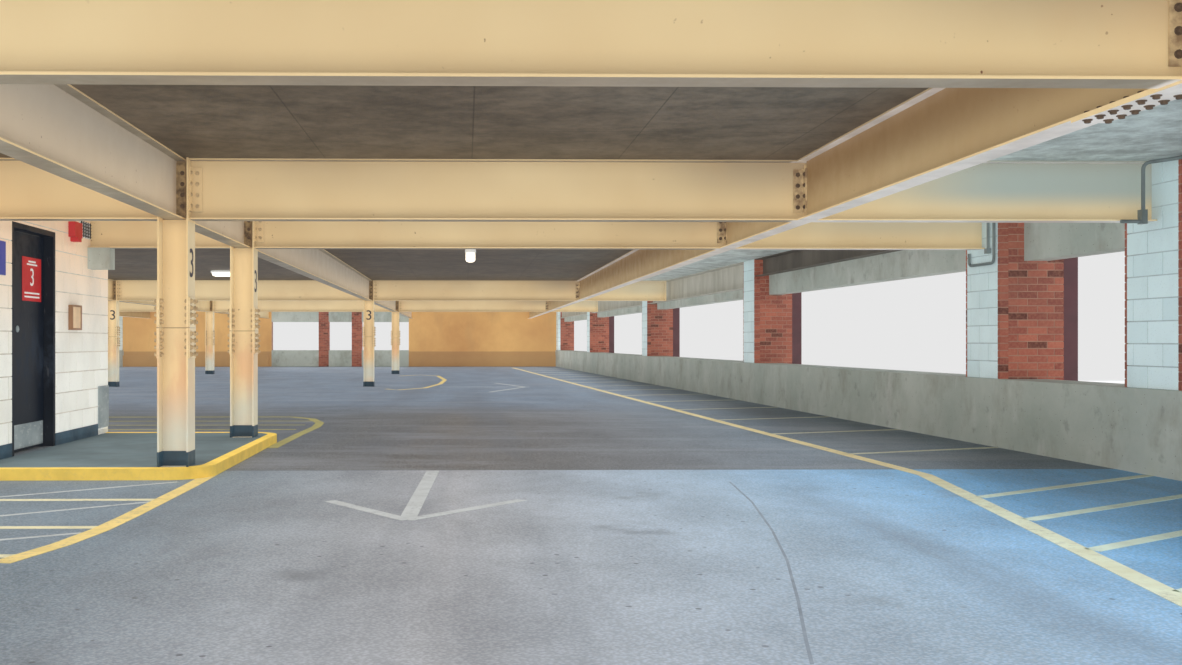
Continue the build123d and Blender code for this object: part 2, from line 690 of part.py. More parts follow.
save("ground_slab", [slab(0)])
for level in range(1, COVERED_LEVELS):
    save(f"deck_level_{level + 1}", [slab(level)])
save("roof_deck", [slab(COVERED_LEVELS)])
for level in range(COVERED_LEVELS):
    save(f"columns_level_{level + 1}", columns(level))
    save(f"transverse_beams_level_{level + 1}", transverse_beams(level))
save("column_splice_plates", splice_plates())
save("column_line_girders", column_line_girders())
save("aisle_girders", aisle_girders())
save("girder_straps", girder_straps())
save("beam_cleats", beam_cleats())
save("edge_beams", edge_beams())
save("beam_end_plates", beam_end_plates())
save("brick_piers_right", brick_piers())
save("brick_piers_left", left_side(brick_piers()))
save("pier_fins", pier_fins())
save("block_facings", block_facings())
save("spandrel_panels_right", spandrel_panels())
save("spandrel_panels_left", left_side(spandrel_panels()))
save("base_walls", base_walls())
save("upstands", upstands())
save("front_brick_piers", front_piers())
save("front_spandrel_panels", front_panels())
save("front_base_walls", front_base_walls())
save("rear_walls", rear_walls())
save("rear_brick_piers", rear_piers())
save("rear_spandrel_panels", rear_panels())
save("rear_upstands", rear_upstands())
for level in range(COVERED_LEVELS + 1):
    save(f"lobby_walls_level_{level + 1}", lobby_walls(level))
save("lobby_roof", [lobby_roof()])
save("lobby_floors", lobby_floors())
save("kerb_islands", kerb_islands())
save("door_frames", [piece for floor in FLOOR_Z for piece in door_frame(floor)])
save("door_leaf_level_3", [door_leaf(FLOOR_Z[2])])
save("kick_plate_level_3", [kick_plate(FLOOR_Z[2])])
OTHER_DOORS = [FLOOR_Z[0], FLOOR_Z[1], FLOOR_Z[3]]
save("door_leaves_other_levels", [door_leaf(floor) for floor in OTHER_DOORS])
save("kick_plates_other_levels", [kick_plate(floor) for floor in OTHER_DOORS])
save("bearing_blocks", bearing_blocks())
save("corner_guards", corner_guards())
save("jar_lamps", jar_lamps())
save("oval_lamps", oval_lamps())
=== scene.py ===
"""Looks of the multi storey car park: masonry, paint, bolts, markings, signs, lamps, light and camera.

Lengths are metres on the 1:2 scale model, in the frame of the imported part: X across the aisles,
Y along them, Z up.
"""
import json
from itertools import product
from math import cos, pi, radians, sin, tan

import bpy
import numpy as np
from mathutils import Matrix, Vector


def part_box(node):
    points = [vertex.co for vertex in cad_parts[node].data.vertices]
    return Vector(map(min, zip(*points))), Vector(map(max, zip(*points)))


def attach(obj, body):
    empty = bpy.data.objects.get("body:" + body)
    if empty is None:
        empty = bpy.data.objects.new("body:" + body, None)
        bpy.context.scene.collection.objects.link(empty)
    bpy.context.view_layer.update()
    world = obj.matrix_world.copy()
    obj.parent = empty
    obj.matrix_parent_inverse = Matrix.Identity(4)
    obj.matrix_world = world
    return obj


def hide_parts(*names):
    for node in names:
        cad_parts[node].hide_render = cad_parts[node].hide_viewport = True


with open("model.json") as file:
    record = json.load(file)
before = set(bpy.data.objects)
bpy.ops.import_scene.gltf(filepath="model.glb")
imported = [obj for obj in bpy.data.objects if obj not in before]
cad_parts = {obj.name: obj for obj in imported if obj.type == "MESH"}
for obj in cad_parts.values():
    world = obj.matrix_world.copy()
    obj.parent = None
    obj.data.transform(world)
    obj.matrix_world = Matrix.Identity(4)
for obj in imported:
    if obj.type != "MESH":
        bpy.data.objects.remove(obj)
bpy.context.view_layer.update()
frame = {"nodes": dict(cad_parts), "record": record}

BODY = "building"
DOOR_BODY = "lobby_door"
RANDOM_SEED = 11
SIDES = (-1, 1)

# Photograph and camera
IMAGE_WIDTH_PX = 1182
IMAGE_CENTRE_PX = (591.0, 332.5)
PRINCIPAL_PX = (486.13, 341.17)
SENSOR_WIDTH = 36.0
LENS = 35.05
CAMERA_PLACE = (2.8135, -11.7375, 3.529)
CAMERA_YAW = 0.0178

# Frame of the building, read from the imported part
NEAR_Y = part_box("ground_slab")[0].y
FAR_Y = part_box("ground_slab")[1].y
SLABS = ["ground_slab", "deck_level_2", "deck_level_3", "roof_deck"]
FLOORS = [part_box(name)[1].z for name in SLABS]
COVERED = 3
STOREY = FLOORS[1] - FLOORS[0]
SLAB_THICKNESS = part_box("ground_slab")[1].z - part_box("ground_slab")[0].z
SOFFIT = STOREY - SLAB_THICKNESS
WALL_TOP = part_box("brick_piers_right")[1].z
SHOWN_LEVEL = 2
GRID_Y = [NEAR_Y + y for y in (4.65, 7.25, 8.725, 16.875, 22.35)]
PIER_Y = GRID_Y[:3] + [NEAR_Y + y for y in (13.215, 18.2, 23.42)]
COLUMN_X = 1.6
COLUMN_DEPTH = 0.127
COLUMN_WIDTH = 0.125
COLUMN_FLANGE = 0.007
COLUMN_WEB = 0.0045
SPLICE_HEIGHT = 0.625
GIRDER_X = 4.2475
BEAM_DEPTH = 0.253
BEAM_WIDTH = 0.082
BEAM_WEB = 0.0045
BEAM_FLANGE = 0.006
BEAM_BOTTOM = SOFFIT - BEAM_DEPTH
WEB_BOLT_PITCH = 0.046

# Side walls, which draw together towards the far end
WALL_X_NEAR = 6.0385
WALL_SKEW = radians(2.4)
PIER_BRICK_WIDTH = 0.38
PIER_BLOCK_WIDTH = 0.34
PIER_BLOCK_DEPTH = 0.05
PIER_OUTER = 0.35
UPSTAND_HEIGHT = 0.365
UPSTAND_PROUD = 0.02
END_WALL = 0.2

# Lobby core and its doorways
LOBBY_HALF = 0.764
LOBBY_WALL = 0.1
LOBBY_INNER = LOBBY_HALF - LOBBY_WALL
LOBBY_Y = (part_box("lobby_walls_level_3")[0].y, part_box("lobby_walls_level_3")[1].y)
DOORWAY_Y = (NEAR_Y + 7.637, NEAR_Y + 8.187)
DOORWAY_HEIGHT = 1.065
ISLAND_HEIGHT = 0.047
ISLAND_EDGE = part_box("kerb_islands")[1].x
ISLAND_Y = (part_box("kerb_islands")[0].y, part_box("kerb_islands")[1].y)
ISLAND_RADIUS = 0.18
DOOR_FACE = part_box("door_leaf_level_3")[1].x

# Joints in the floor finish and in the soffit boards
FLOOR_JOINT_Y = NEAR_Y + 7.48
BOARD_WIDTH = 0.61
BOARD_LENGTH = 1.22
BOARD_JOINT_X = 0.4
BOARD_JOINT_Y = -0.248

# Masonry units
BRICK = (0.1015, 0.049, 0.0335)
BRICK_JOINT = 0.005
BLOCK = (0.195, 0.03, 0.095)
BLOCK_JOINT = 0.005
JOINT_DEPTH = 0.002


def wall_x(y, outwards=0.0):
    """X of the right wall at a world station, a distance outwards from its block face."""
    return WALL_X_NEAR - (y - NEAR_Y) * tan(WALL_SKEW) + outwards / cos(WALL_SKEW)


# Shader helpers


class Paint:
    """A procedural material that is built up from noise, ramps and mixes."""

    def __init__(self, name, roughness=0.6, metallic=0.0):
        self.material = bpy.data.materials.new(name)
        self.material.use_nodes = True
        self.tree = self.material.node_tree
        self.surface = self.tree.nodes["Principled BSDF"]
        self.surface.inputs["Roughness"].default_value = roughness
        self.surface.inputs["Metallic"].default_value = metallic
        self.coordinates = self.add("ShaderNodeTexCoord").outputs["Object"]
        self.colour = None

    def add(self, kind, values=None, **settings):
        """A new node with its settings and the plain values of its inputs."""
        node = self.tree.nodes.new(kind)
        for key, value in settings.items():
            setattr(node, key, value)
        for key, value in (values or {}).items():
            node.inputs[key].default_value = value
        return node

    def link(self, source, target):
        """Links an output to an input."""
        self.tree.links.new(source, target)

    def put(self, target, value):
        """Links a socket, or sets a plain number or colour."""
        if hasattr(value, "links"):
            self.link(value, target)
        elif isinstance(value, (tuple, list)) and len(value) == 3:
            target.default_value = (*value, 1.0)
        else:
            target.default_value = value

    def scaled(self, scale):
        """Object coordinates stretched along the axes."""
        node = self.add("ShaderNodeMapping", {"Scale": scale})
        self.link(self.coordinates, node.inputs["Vector"])
        return node.outputs["Vector"]

    def noise(self, scale, detail=4.0, stretch=(1, 1, 1), rough=0.6):
        """Cloudy noise, finer with more scale along an axis."""
        node = self.add("ShaderNodeTexNoise", {"Scale": scale, "Detail": detail, "Roughness": rough})
        self.link(self.scaled(stretch), node.inputs["Vector"])
        return node.outputs["Fac"]

    def cells(self, scale):
        """Distance to the middle of the nearest of many small cells."""
        node = self.add("ShaderNodeTexVoronoi", {"Scale": scale})
        self.link(self.coordinates, node.inputs["Vector"])
        return node.outputs["Distance"]

    def ramp(self, value, stops):
        """Grey or colour ramp: stops of (position, grey) or (position, colour)."""
        node = self.add("ShaderNodeValToRGB")
        ramp = node.color_ramp
        while len(ramp.elements) < len(stops):
            ramp.elements.new(0.5)
        for element, (position, colour) in zip(ramp.elements, stops):
            element.position = position
            grey = not isinstance(colour, (tuple, list))
            element.color = (colour, colour, colour, 1) if grey else (*colour, 1)
        self.put(node.inputs["Fac"], value)
        return node.outputs["Color"]

    def patches(self, scale, low, high, detail=4.0, stretch=(1, 1, 1), rough=0.6):
        """Noise through a ramp between two stops."""
        return self.ramp(self.noise(scale, detail, stretch, rough), [low, high])

    def mix(self, factor, first, second, blend="MIX"):
        """The first colour, with the second over it where the factor is 1."""
        node = self.add("ShaderNodeMix", data_type="RGBA", blend_type=blend)
        self.put(node.inputs["Factor"], factor)
        self.put(node.inputs[6], first)
        self.put(node.inputs[7], second)
        return node.outputs[2]

    def lay(self, mask, colour, blend="MIX"):
        """Lays a colour over the paint so far, where a mask is 1."""
        self.colour = self.mix(mask, self.colour, colour, blend)

    def math(self, operation, first, second=0.0, third=0.0):
        """Result of one operation of the maths node."""
        node = self.add("ShaderNodeMath", operation=operation)
        for socket, value in zip(node.inputs, (first, second, third)):
            self.put(socket, value)
        return node.outputs[0]

    def times(self, *factors):
        """Product of several masks."""
        product = factors[0]
        for factor in factors[1:]:
            product = self.math("MULTIPLY", product, factor)
        return product

    def reach(self, value, low, high):
        """Smooth step from 0 at one value to 1 at another, which may be the smaller one."""
        node = self.add("ShaderNodeMapRange", {"From Min": low, "From Max": high},
                        interpolation_type="SMOOTHSTEP")
        self.put(node.inputs["Value"], value)
        return node.outputs["Result"]

    def near(self, value, target, tolerance):
        """1 where a value lies within a tolerance of a target."""
        return self.math("COMPARE", value, target, tolerance)

    def above(self, value, limit):
        """1 where a value is over a limit."""
        return self.math("GREATER_THAN", value, limit)

    def below(self, value, limit):
        """1 where a value is under a limit."""
        return self.math("LESS_THAN", value, limit)

    def size(self, value):
        """A value without its sign."""
        return self.math("ABSOLUTE", value)

    def corners(self, distance):
        """Mask for painted shade: 1 deep in corners and under ledges, 0 in the open; one ray keeps the render
        quick.
        """
        node = self.add("ShaderNodeAmbientOcclusion", {"Distance": distance}, samples=1)
        return self.math("SUBTRACT", 1.0, node.outputs["AO"])

    def normal(self, axis):
        """One component of the face normal."""
        split = self.add("ShaderNodeSeparateXYZ")
        self.link(self.add("ShaderNodeNewGeometry").outputs["Normal"], split.inputs[0])
        return split.outputs[axis]

    def place(self, axis):
        """One object coordinate."""
        split = self.add("ShaderNodeSeparateXYZ")
        self.link(self.coordinates, split.inputs[0])
        return split.outputs[axis]

    def from_middle(self):
        """Distance from the building's centre line."""
        return self.size(self.place(0))

    def above_floor(self):
        """Height above the floor of the storey."""
        return self.math("MODULO", self.math("SUBTRACT", self.place(2), FLOORS[0]), STOREY)

    def tint(self):
        """The random value that every brick or block carries."""
        return self.add("ShaderNodeAttribute", attribute_name="tint").outputs["Fac"]

    def bump(self, height, strength, distance=0.002):
        """Shallow relief on the surface."""
        node = self.add("ShaderNodeBump", {"Strength": strength, "Distance": distance})
        self.put(node.inputs["Height"], height)
        self.link(node.outputs["Normal"], self.surface.inputs["Normal"])

    def finish(self, colour=None, roughness=None):
        """Puts the colour, or the paint laid so far, on the surface and returns the material."""
        self.put(self.surface.inputs["Base Color"], self.colour if colour is None else colour)
        if roughness is not None:
            self.put(self.surface.inputs["Roughness"], roughness)
        return self.material


def worn(paint, colour, amount, scale=6.0):
    """Colour with soft uneven dirt."""
    patches = paint.patches(scale, (0.35, 0.0), (0.75, 1.0))
    darker = tuple(c * (1 - amount) for c in colour)
    return paint.mix(patches, colour, darker)


# Materials


def steel_paint():
    """Aged cream gloss with painted shade towards the decks, in recesses and corners, on undersides and on
    the girders' aisle faces, painted daylight near the open sides, on the column faces turned to them and at
    the column feet, and rust in places.
    """
    paint = Paint("cream_steel", 0.38)
    aged = paint.patches(0.9, (0.3, 0.0), (0.7, 1.0), 3)
    paint.colour = paint.mix(aged, (0.94, 0.735, 0.41), (0.79, 0.57, 0.29))
    height = paint.above_floor()
    middle = paint.from_middle()
    # Painted shade: the upper web is darkened under the deck, more so beside the aisle girders.
    deck_shade = paint.reach(height, BEAM_BOTTOM + 0.03, SOFFIT - 0.02)
    girder_shade = paint.reach(paint.size(paint.math("SUBTRACT", middle, GIRDER_X - 0.1)), 0.95, 0.05)
    uneven = paint.patches(0.8, (0.35, 0.15), (0.65, 0.5), 3)
    paint.lay(paint.times(deck_shade, paint.math("MAXIMUM", uneven, girder_shade), 0.85), (0.4, 0.305, 0.195))
    orange = paint.patches(2.6, (0.55, 0.0), (0.78, 0.3), 4, (1, 1, 0.5))
    paint.lay(orange, (0.7, 0.43, 0.2))
    # Painted daylight from the open sides: beams outside the aisle girders turn pale grey-green, most high on
    # the web and on the first two beams.
    high_up = paint.times(paint.reach(height, BEAM_BOTTOM + 0.03, BEAM_BOTTOM + 0.14), 0.85)
    side_light_height = paint.math("ADD", high_up, 0.15)
    nearer = paint.math("ADD", paint.times(paint.below(paint.place(1), GRID_Y[1] + 0.5), 0.6), 0.4)
    side_light = paint.times(paint.reach(middle, GIRDER_X + 0.03, GIRDER_X + 0.9), side_light_height, nearer)
    paint.lay(side_light, (0.42, 0.47, 0.42))
    # Painted shade on the girder faces turned to the aisle, deepest towards the deck.
    outwards = paint.math("MULTIPLY", paint.normal(0), paint.math("SIGN", paint.place(0)))
    aisle_side = paint.times(paint.below(outwards, -0.5), paint.near(middle, GIRDER_X, 0.03))
    soot_and_shade = paint.ramp(paint.reach(height, BEAM_BOTTOM, SOFFIT - 0.04), [(0.0, 0.48), (1.0, 0.95)])
    paint.lay(paint.times(aisle_side, soot_and_shade), (0.235, 0.135, 0.055))
    # Painted shade on the outward faces at the column lines above the beam bottoms, darker upwards.
    wall_side = paint.times(paint.above(outwards, 0.5), paint.near(middle, COLUMN_X, 0.03),
                            paint.above(height, BEAM_BOTTOM))
    shaded = paint.mix(deck_shade, (0.72, 0.59, 0.44), (0.45, 0.4, 0.335))
    paint.lay(paint.times(wall_side, 0.9), shaded)

    low = paint.below(height, BEAM_BOTTOM - 0.01)
    stained = paint.times(low, paint.reach(height, 0.66, 0.46),
                          paint.reach(paint.noise(6, 4, (1, 1, 0.4)), 0.42, 0.6))
    paint.lay(paint.times(stained, 0.45), (0.7, 0.34, 0.19))
    # Painted daylight: the column feet are pale greenish-grey, fading out upwards.
    foot_light = paint.times(low, paint.reach(height, 0.42, 0.16), paint.patches(4, (0.3, 0.6), (0.6, 0.95)))
    paint.lay(foot_light, (0.58, 0.615, 0.545))
    paint.lay(paint.times(paint.near(height, SPLICE_HEIGHT, 0.0018), 0.8), (0.25, 0.14, 0.07))
    # Painted daylight on the column faces turned to the open sides: a greyer cream.
    flanges = paint.times(low, paint.above(paint.size(outwards), 0.5), 0.45)
    paint.lay(flanges, (0.66, 0.61, 0.44))
    streaks = paint.patches(9, (0.56, 0.0), (0.82, 1.0), 4, (1, 1, 0.15))
    paint.lay(paint.times(streaks, low, 0.35), (0.45, 0.3, 0.16))
    # Painted shade in the column web recess between the flanges, above the beams.
    recess_shade = paint.times(paint.near(middle, COLUMN_X, 0.058), paint.above(height, BEAM_BOTTOM),
                         paint.above(paint.size(paint.normal(1)), 0.5))
    paint.lay(paint.times(recess_shade, 0.85), (0.15, 0.09, 0.035))
    spots = paint.times(paint.reach(paint.noise(55, 2), 0.7, 0.74),
                        paint.reach(paint.noise(2.2, 2), 0.5, 0.62))
    paint.lay(spots, (0.22, 0.09, 0.04))
    # Painted shade in corners and under ledges.
    paint.lay(paint.times(paint.corners(0.06), 0.52), (0.23, 0.145, 0.07))

    # Painted shade on the faces turned down, with painted daylight making them pale past the aisle girders;
    # the faces turned up are darker brown.
    faces_down = paint.below(paint.normal(2), -0.5)
    under = paint.mix(paint.reach(middle, 0.8, 3.0), (0.165, 0.15, 0.12), (0.215, 0.17, 0.125))
    under = paint.mix(paint.reach(middle, GIRDER_X - 0.07, GIRDER_X - 0.05), under, (0.68, 0.625, 0.59))
    under = paint.mix(1.0, under, paint.patches(6, (0.35, 0.82), (0.65, 1.12), 5), "MULTIPLY")
    paint.lay(paint.times(faces_down, 0.9), under)
    paint.lay(paint.above(paint.normal(2), 0.5), (0.3, 0.245, 0.175))
    paint.bump(paint.noise(40, 3), 0.12, 0.001)
    return paint.finish(roughness=paint.patches(8, (0.3, 0.3), (0.8, 0.55)))


def rusty_paint(name, clean, rusty):
    """Cream paint that rust and dirt have darkened round the bolted angles."""
    paint = Paint(name, 0.6)
    rust = paint.patches(24, (0.4, 0.0), (0.62, 1.0), 5)
    paint.colour = paint.mix(rust, clean, rusty)
    paint.bump(paint.noise(60, 4), 0.3, 0.001)
    return paint.finish()


def edge_steel_paint():
    """Edge channels: grey-brown where the bays are shallow, pale grey towards the far end."""
    paint = Paint("edge_channel_paint", 0.6)
    grime = paint.patches(6, (0.35, 0.0), (0.7, 1.0), 5, (1, 1, 0.3))
    near = paint.mix(grime, (0.115, 0.1, 0.08), (0.06, 0.052, 0.042))
    far = paint.mix(grime, (0.47, 0.46, 0.4), (0.33, 0.315, 0.26))
    paint.colour = paint.mix(paint.above(paint.place(1), PIER_Y[3]), near, far)
    paint.bump(paint.noise(40, 3), 0.2, 0.001)
    return paint.finish()


def floor_colour(paint, grain):
    """Trafficked top: pale and rough before the joint under the second beam, dark past it, and bluer outwards
    as painted sky light.
    """
    along = paint.place(1)
    across = paint.math("DIVIDE", paint.from_middle(), 6.0)
    # The blue towards the open sides, on both sides of the joint, is painted sky light.
    near = paint.ramp(across, [(0.29, (0.145, 0.205, 0.26)), (0.46, (0.39, 0.405, 0.44)),
                               (0.63, (0.31, 0.43, 0.56)), (0.8, (0.13, 0.4, 0.72))])
    far = paint.ramp(across, [(0.29, (0.078, 0.095, 0.112)), (0.46, (0.122, 0.114, 0.106)),
                              (0.62, (0.122, 0.135, 0.155)), (0.8, (0.1, 0.15, 0.205))])
    far = paint.mix(paint.reach(along, NEAR_Y + 10.8, NEAR_Y + 13.5), far, (0.152, 0.212, 0.295))
    past = paint.above(along, FLOOR_JOINT_Y)
    paint.colour = paint.mix(past, near, far)
    outdoors = paint.above(paint.place(2), FLOORS[COVERED] - STOREY / 2)
    paint.lay(outdoors, (0.27, 0.285, 0.3))

    cloudy = paint.patches(2.3, (0.34, 0.76), (0.66, 1.18), 6, (1, 0.6, 1), 0.68)
    paint.lay(1.0, cloudy, "MULTIPLY")
    stones = paint.ramp(paint.cells(105), [(0.15, 1.2), (0.6, 0.78)])
    paint.lay(0.8, stones, "MULTIPLY")
    paint.lay(paint.ramp(grain, [(0.42, 0.0), (0.66, 0.28)]), (0.56, 0.58, 0.61))
    lanes = paint.patches(1.9, (0.52, 0.0), (0.7, 0.45), 4, (1.0, 0.09, 1))
    paint.lay(lanes, (0.125, 0.145, 0.175))
    dusty = paint.patches(1.7, (0.48, 0.0), (0.66, 0.42), 5, (0.4, 1.5, 1), 0.68)
    paint.lay(paint.times(dusty, past), (0.29, 0.31, 0.345))
    stains = paint.patches(3.1, (0.64, 0.0), (0.76, 0.45), 3, (1, 0.8, 1))
    paint.lay(stains, (0.095, 0.11, 0.13))
    clusters = paint.reach(paint.noise(0.8, 2), 0.48, 0.58)
    specks = paint.times(paint.reach(paint.cells(13.0), 0.11, 0.07), clusters)
    paint.lay(paint.times(specks, 0.75), (0.07, 0.075, 0.085))
    joint = paint.near(along, FLOOR_JOINT_Y, 0.006)
    paint.lay(paint.times(joint, 0.7), (0.075, 0.08, 0.095))
    return paint.colour, stains


def soffit_colour(paint):
    """Board marked concrete, brown with damp in the middle bays, and pale near the open sides as painted
    daylight.
    """
    broad = paint.patches(0.8, (0.32, 0.0), (0.68, 1.0), 5, (1, 1, 1), 0.68)
    paint.colour = paint.mix(broad, (0.066, 0.044, 0.025), (0.124, 0.092, 0.06))
    green = paint.patches(0.45, (0.48, 0.0), (0.64, 0.55), 3)
    paint.lay(green, (0.105, 0.092, 0.068))
    shift = paint.add("ShaderNodeMapping", {"Location": (-BOARD_JOINT_X, -BOARD_JOINT_Y, 0)})
    paint.link(paint.coordinates, shift.inputs["Vector"])
    boards = paint.add("ShaderNodeTexBrick", {
        "Color1": (1, 1, 1, 1), "Color2": (0.88, 0.88, 0.88, 1), "Mortar": (0.52, 0.5, 0.48, 1),
        "Scale": 1.0, "Mortar Size": 0.003, "Mortar Smooth": 0.3,
        "Brick Width": BOARD_WIDTH, "Row Height": BOARD_LENGTH}, offset=0.0, squash=1.0)
    paint.link(shift.outputs["Vector"], boards.inputs["Vector"])
    paint.lay(1.0, boards.outputs["Color"], "MULTIPLY")
    blotches = paint.patches(8.0, (0.36, 0.64), (0.64, 1.34), 6, (1, 1, 1), 0.74)
    paint.lay(1.0, blotches, "MULTIPLY")
    damp = paint.patches(1.5, (0.64, 0.0), (0.76, 0.35), 4)
    paint.lay(damp, (0.2, 0.185, 0.155))
    # Painted daylight: the soffit is pale grey-green outside the aisle girders.
    pale = paint.reach(paint.from_middle(), GIRDER_X, GIRDER_X + 0.6)
    lit = paint.mix(1.0, (0.52, 0.585, 0.565), blotches, "MULTIPLY")
    paint.lay(paint.times(pale, 0.92), lit)
    return paint.colour


def deck_finish():
    """Trafficked floor above, board marked concrete below and plain concrete at the edges."""
    paint = Paint("deck_surfaces", 0.75)
    grain = paint.noise(160, 2)
    top, stains = floor_colour(paint, grain)
    edge = paint.mix(paint.patches(5, (0.4, 0.0), (0.7, 1.0), 4, (1, 1, 0.3)),
                     (0.42, 0.41, 0.37), (0.26, 0.235, 0.2))
    colour = paint.mix(paint.below(paint.normal(2), -0.5), edge, soffit_colour(paint))
    colour = paint.mix(paint.above(paint.normal(2), 0.5), colour, top)
    paint.bump(grain, 0.35, 0.0015)
    return paint.finish(colour, paint.ramp(stains, [(0.0, 0.62), (1.0, 0.4)]))


def panel_finish():
    """Cast concrete with grey-green bloom, brown runs from the top edges and pin holes."""
    paint = Paint("cast_panels", 0.85)
    cast = paint.patches(1.3, (0.32, 0.0), (0.68, 1.0), 6, (1, 1, 1), 0.65)
    paint.colour = paint.mix(cast, (0.33, 0.37, 0.33), (0.47, 0.5, 0.455))
    runs = paint.patches(4.0, (0.5, 0.0), (0.72, 1.0), 5, (1, 1, 0.6), 0.68)
    paint.lay(paint.times(runs, 0.45), (0.185, 0.16, 0.115))
    bloom = paint.patches(6.0, (0.58, 0.0), (0.74, 0.5), 4, (1, 1, 0.5))
    paint.lay(bloom, (0.56, 0.58, 0.55))
    blotches = paint.patches(9.0, (0.6, 0.0), (0.7, 0.45), 5)
    paint.lay(blotches, (0.19, 0.2, 0.18))
    paint.lay(paint.reach(paint.cells(34), 0.09, 0.05), (0.12, 0.11, 0.09))
    paint.bump(paint.noise(28, 5), 0.35, 0.003)
    return paint.finish()


def brick_finish(name, dark, light):
    """Wire cut bricks, each with its own shade."""
    paint = Paint(name, 0.88)
    paint.colour = paint.mix(paint.tint(), dark, light)
    burnt = paint.above(paint.tint(), 0.95)
    paint.lay(burnt, tuple(c * 0.45 for c in dark))
    paint.lay(paint.patches(70, (0.4, 0.0), (0.7, 0.3), 3), (0.52, 0.26, 0.16))
    soot_and_shade = paint.patches(1.2, (0.45, 0.0), (0.75, 0.45), 4)
    paint.lay(soot_and_shade, (0.1, 0.055, 0.045))
    paint.bump(paint.noise(120, 3), 0.5, 0.0015)
    return paint.finish()


def mortar_finish(name, colour):
    """Rough mortar with uneven dirt."""
    paint = Paint(name, 0.95)
    paint.bump(paint.noise(90, 3), 0.4, 0.001)
    return paint.finish(worn(paint, colour, 0.35, 9))


def block_finish(name, colour, shade, top):
    """Open textured blockwork under gloss paint, turned towards another tone high up, with scuffs and painted
    shade in its corners.
    """
    paint = Paint(name, 0.5)
    paint.colour = paint.mix(paint.tint(), colour, shade)
    indoors = paint.below(paint.place(2), FLOORS[COVERED])
    paint.lay(paint.times(paint.reach(paint.above_floor(), 0.45, 1.15), indoors, 0.75), top)
    dirt = paint.patches(2.5, (0.48, 0.0), (0.78, 0.45), 6, (1, 1, 0.7), 0.66)
    paint.lay(dirt, tuple(c * 0.6 for c in shade))
    pores = paint.reach(paint.cells(70), 0.22, 0.1)
    paint.lay(paint.times(pores, 0.3), tuple(c * 0.6 for c in shade))
    # Painted shade in the corners.
    paint.lay(paint.times(paint.corners(0.08), 0.38), (0.2, 0.18, 0.15))
    paint.bump(paint.noise(75, 4), 0.55, 0.0015)
    return paint.finish()


def end_wall_finish():
    """Warm painted masonry of the far end wall, with a brown band along its foot."""
    paint = Paint("end_wall_paint", 0.7)
    uneven = paint.patches(0.5, (0.32, 0.0), (0.66, 1.0), 5)
    paint.colour = paint.mix(uneven, (0.76, 0.455, 0.165), (0.5, 0.25, 0.085))
    aside = paint.reach(paint.math("SUBTRACT", paint.from_middle(), 2.9), 0.6, 2.0)
    paint.lay(paint.times(aside, 0.45), (0.5, 0.27, 0.1))
    runs = paint.patches(3, (0.52, 0.0), (0.72, 0.35), 5, (1, 1, 0.3))
    paint.lay(runs, (0.4, 0.24, 0.1))
    foot = paint.reach(paint.above_floor(), 0.345, 0.33)
    paint.lay(paint.times(foot, 0.55), (0.3, 0.175, 0.085))
    paint.bump(paint.noise(40, 3), 0.3, 0.002)
    return paint.finish()


def flat_paint(name, colour, roughness=0.55, wear=0.35, metallic=0.0, scale=7.0):
    """Plain painted or moulded surface with slight dirt and an uneven gloss."""
    paint = Paint(name, roughness, metallic)
    paint.bump(paint.noise(60, 3), 0.12, 0.0008)
    low = max(roughness - 0.1, 0.08)
    gloss = paint.patches(scale * 1.5, (0.3, low), (0.7, roughness + 0.12))
    return paint.finish(worn(paint, colour, wear, scale), gloss)


def floor_paint(name, colour, wear=0.8, near=None):
    """Road paint worn through to the asphalt in patches, paler and greener at the near end where that tone is
    given, as painted sky light.
    """
    paint = Paint(name, 0.7)
    faded = tuple(c * 0.6 for c in colour)
    if near:
        # Painted sky light: the near end takes the given paler tone.
        near_sky_light = paint.reach(paint.place(1), FLOOR_JOINT_Y + 0.3, FLOOR_JOINT_Y - 1.2)
        colour = paint.mix(near_sky_light, colour, near)
    holes = paint.patches(42, (0.5, 0.0), (0.64, 1.0), 6, (1, 1, 1), 0.75)
    broad = paint.patches(3.2, (0.38, 0.15), (0.7, 1.0), 3)
    paint.colour = paint.mix(paint.times(holes, broad, wear), colour, (0.2, 0.215, 0.235))
    grime = paint.patches(9, (0.4, 0.0), (0.8, 0.5), 4)
    paint.lay(grime, faded)
    paint.bump(paint.noise(150, 2), 0.3, 0.001)
    return paint.finish()


def door_paint():
    """Black gloss paint with chalky scuffs at hand and trolley height."""
    paint = Paint("black_door_paint", 0.5)
    paint.surface.inputs["Specular IOR Level"].default_value = 0.3
    height = paint.above_floor()
    rubbed = paint.times(paint.reach(height, 0.1, 0.3), paint.reach(height, 0.85, 0.55))
    scuffs = paint.patches(7, (0.5, 0.0), (0.68, 0.8), 6, (1, 1, 0.6), 0.7)
    paint.colour = paint.mix(paint.times(scuffs, rubbed), (0.004, 0.008, 0.016), (0.034, 0.05, 0.078))
    rubs = paint.patches(60, (0.66, 0.0), (0.74, 0.35), 3, (1, 1, 0.2))
    paint.lay(rubs, (0.12, 0.12, 0.13))
    paint.bump(paint.noise(60, 3), 0.1, 0.0008)
    return paint.finish(roughness=paint.ramp(scuffs, [(0.0, 0.45), (1.0, 0.7)]))


def sheet_steel():
    """Scratched dull stainless sheet."""
    paint = Paint("scratched_sheet", 0.45, 0.35)
    patches = paint.patches(5, (0.35, 0.0), (0.65, 1.0), 4)
    paint.colour = paint.mix(patches, (0.36, 0.42, 0.43), (0.22, 0.27, 0.29))
    scratches = paint.patches(45, (0.55, 0.0), (0.66, 0.7), 5, (1, 0.5, 1.3))
    paint.lay(scratches, (0.52, 0.56, 0.56))
    return paint.finish(roughness=paint.ramp(scratches, [(0.0, 0.4), (1.0, 0.6)]))


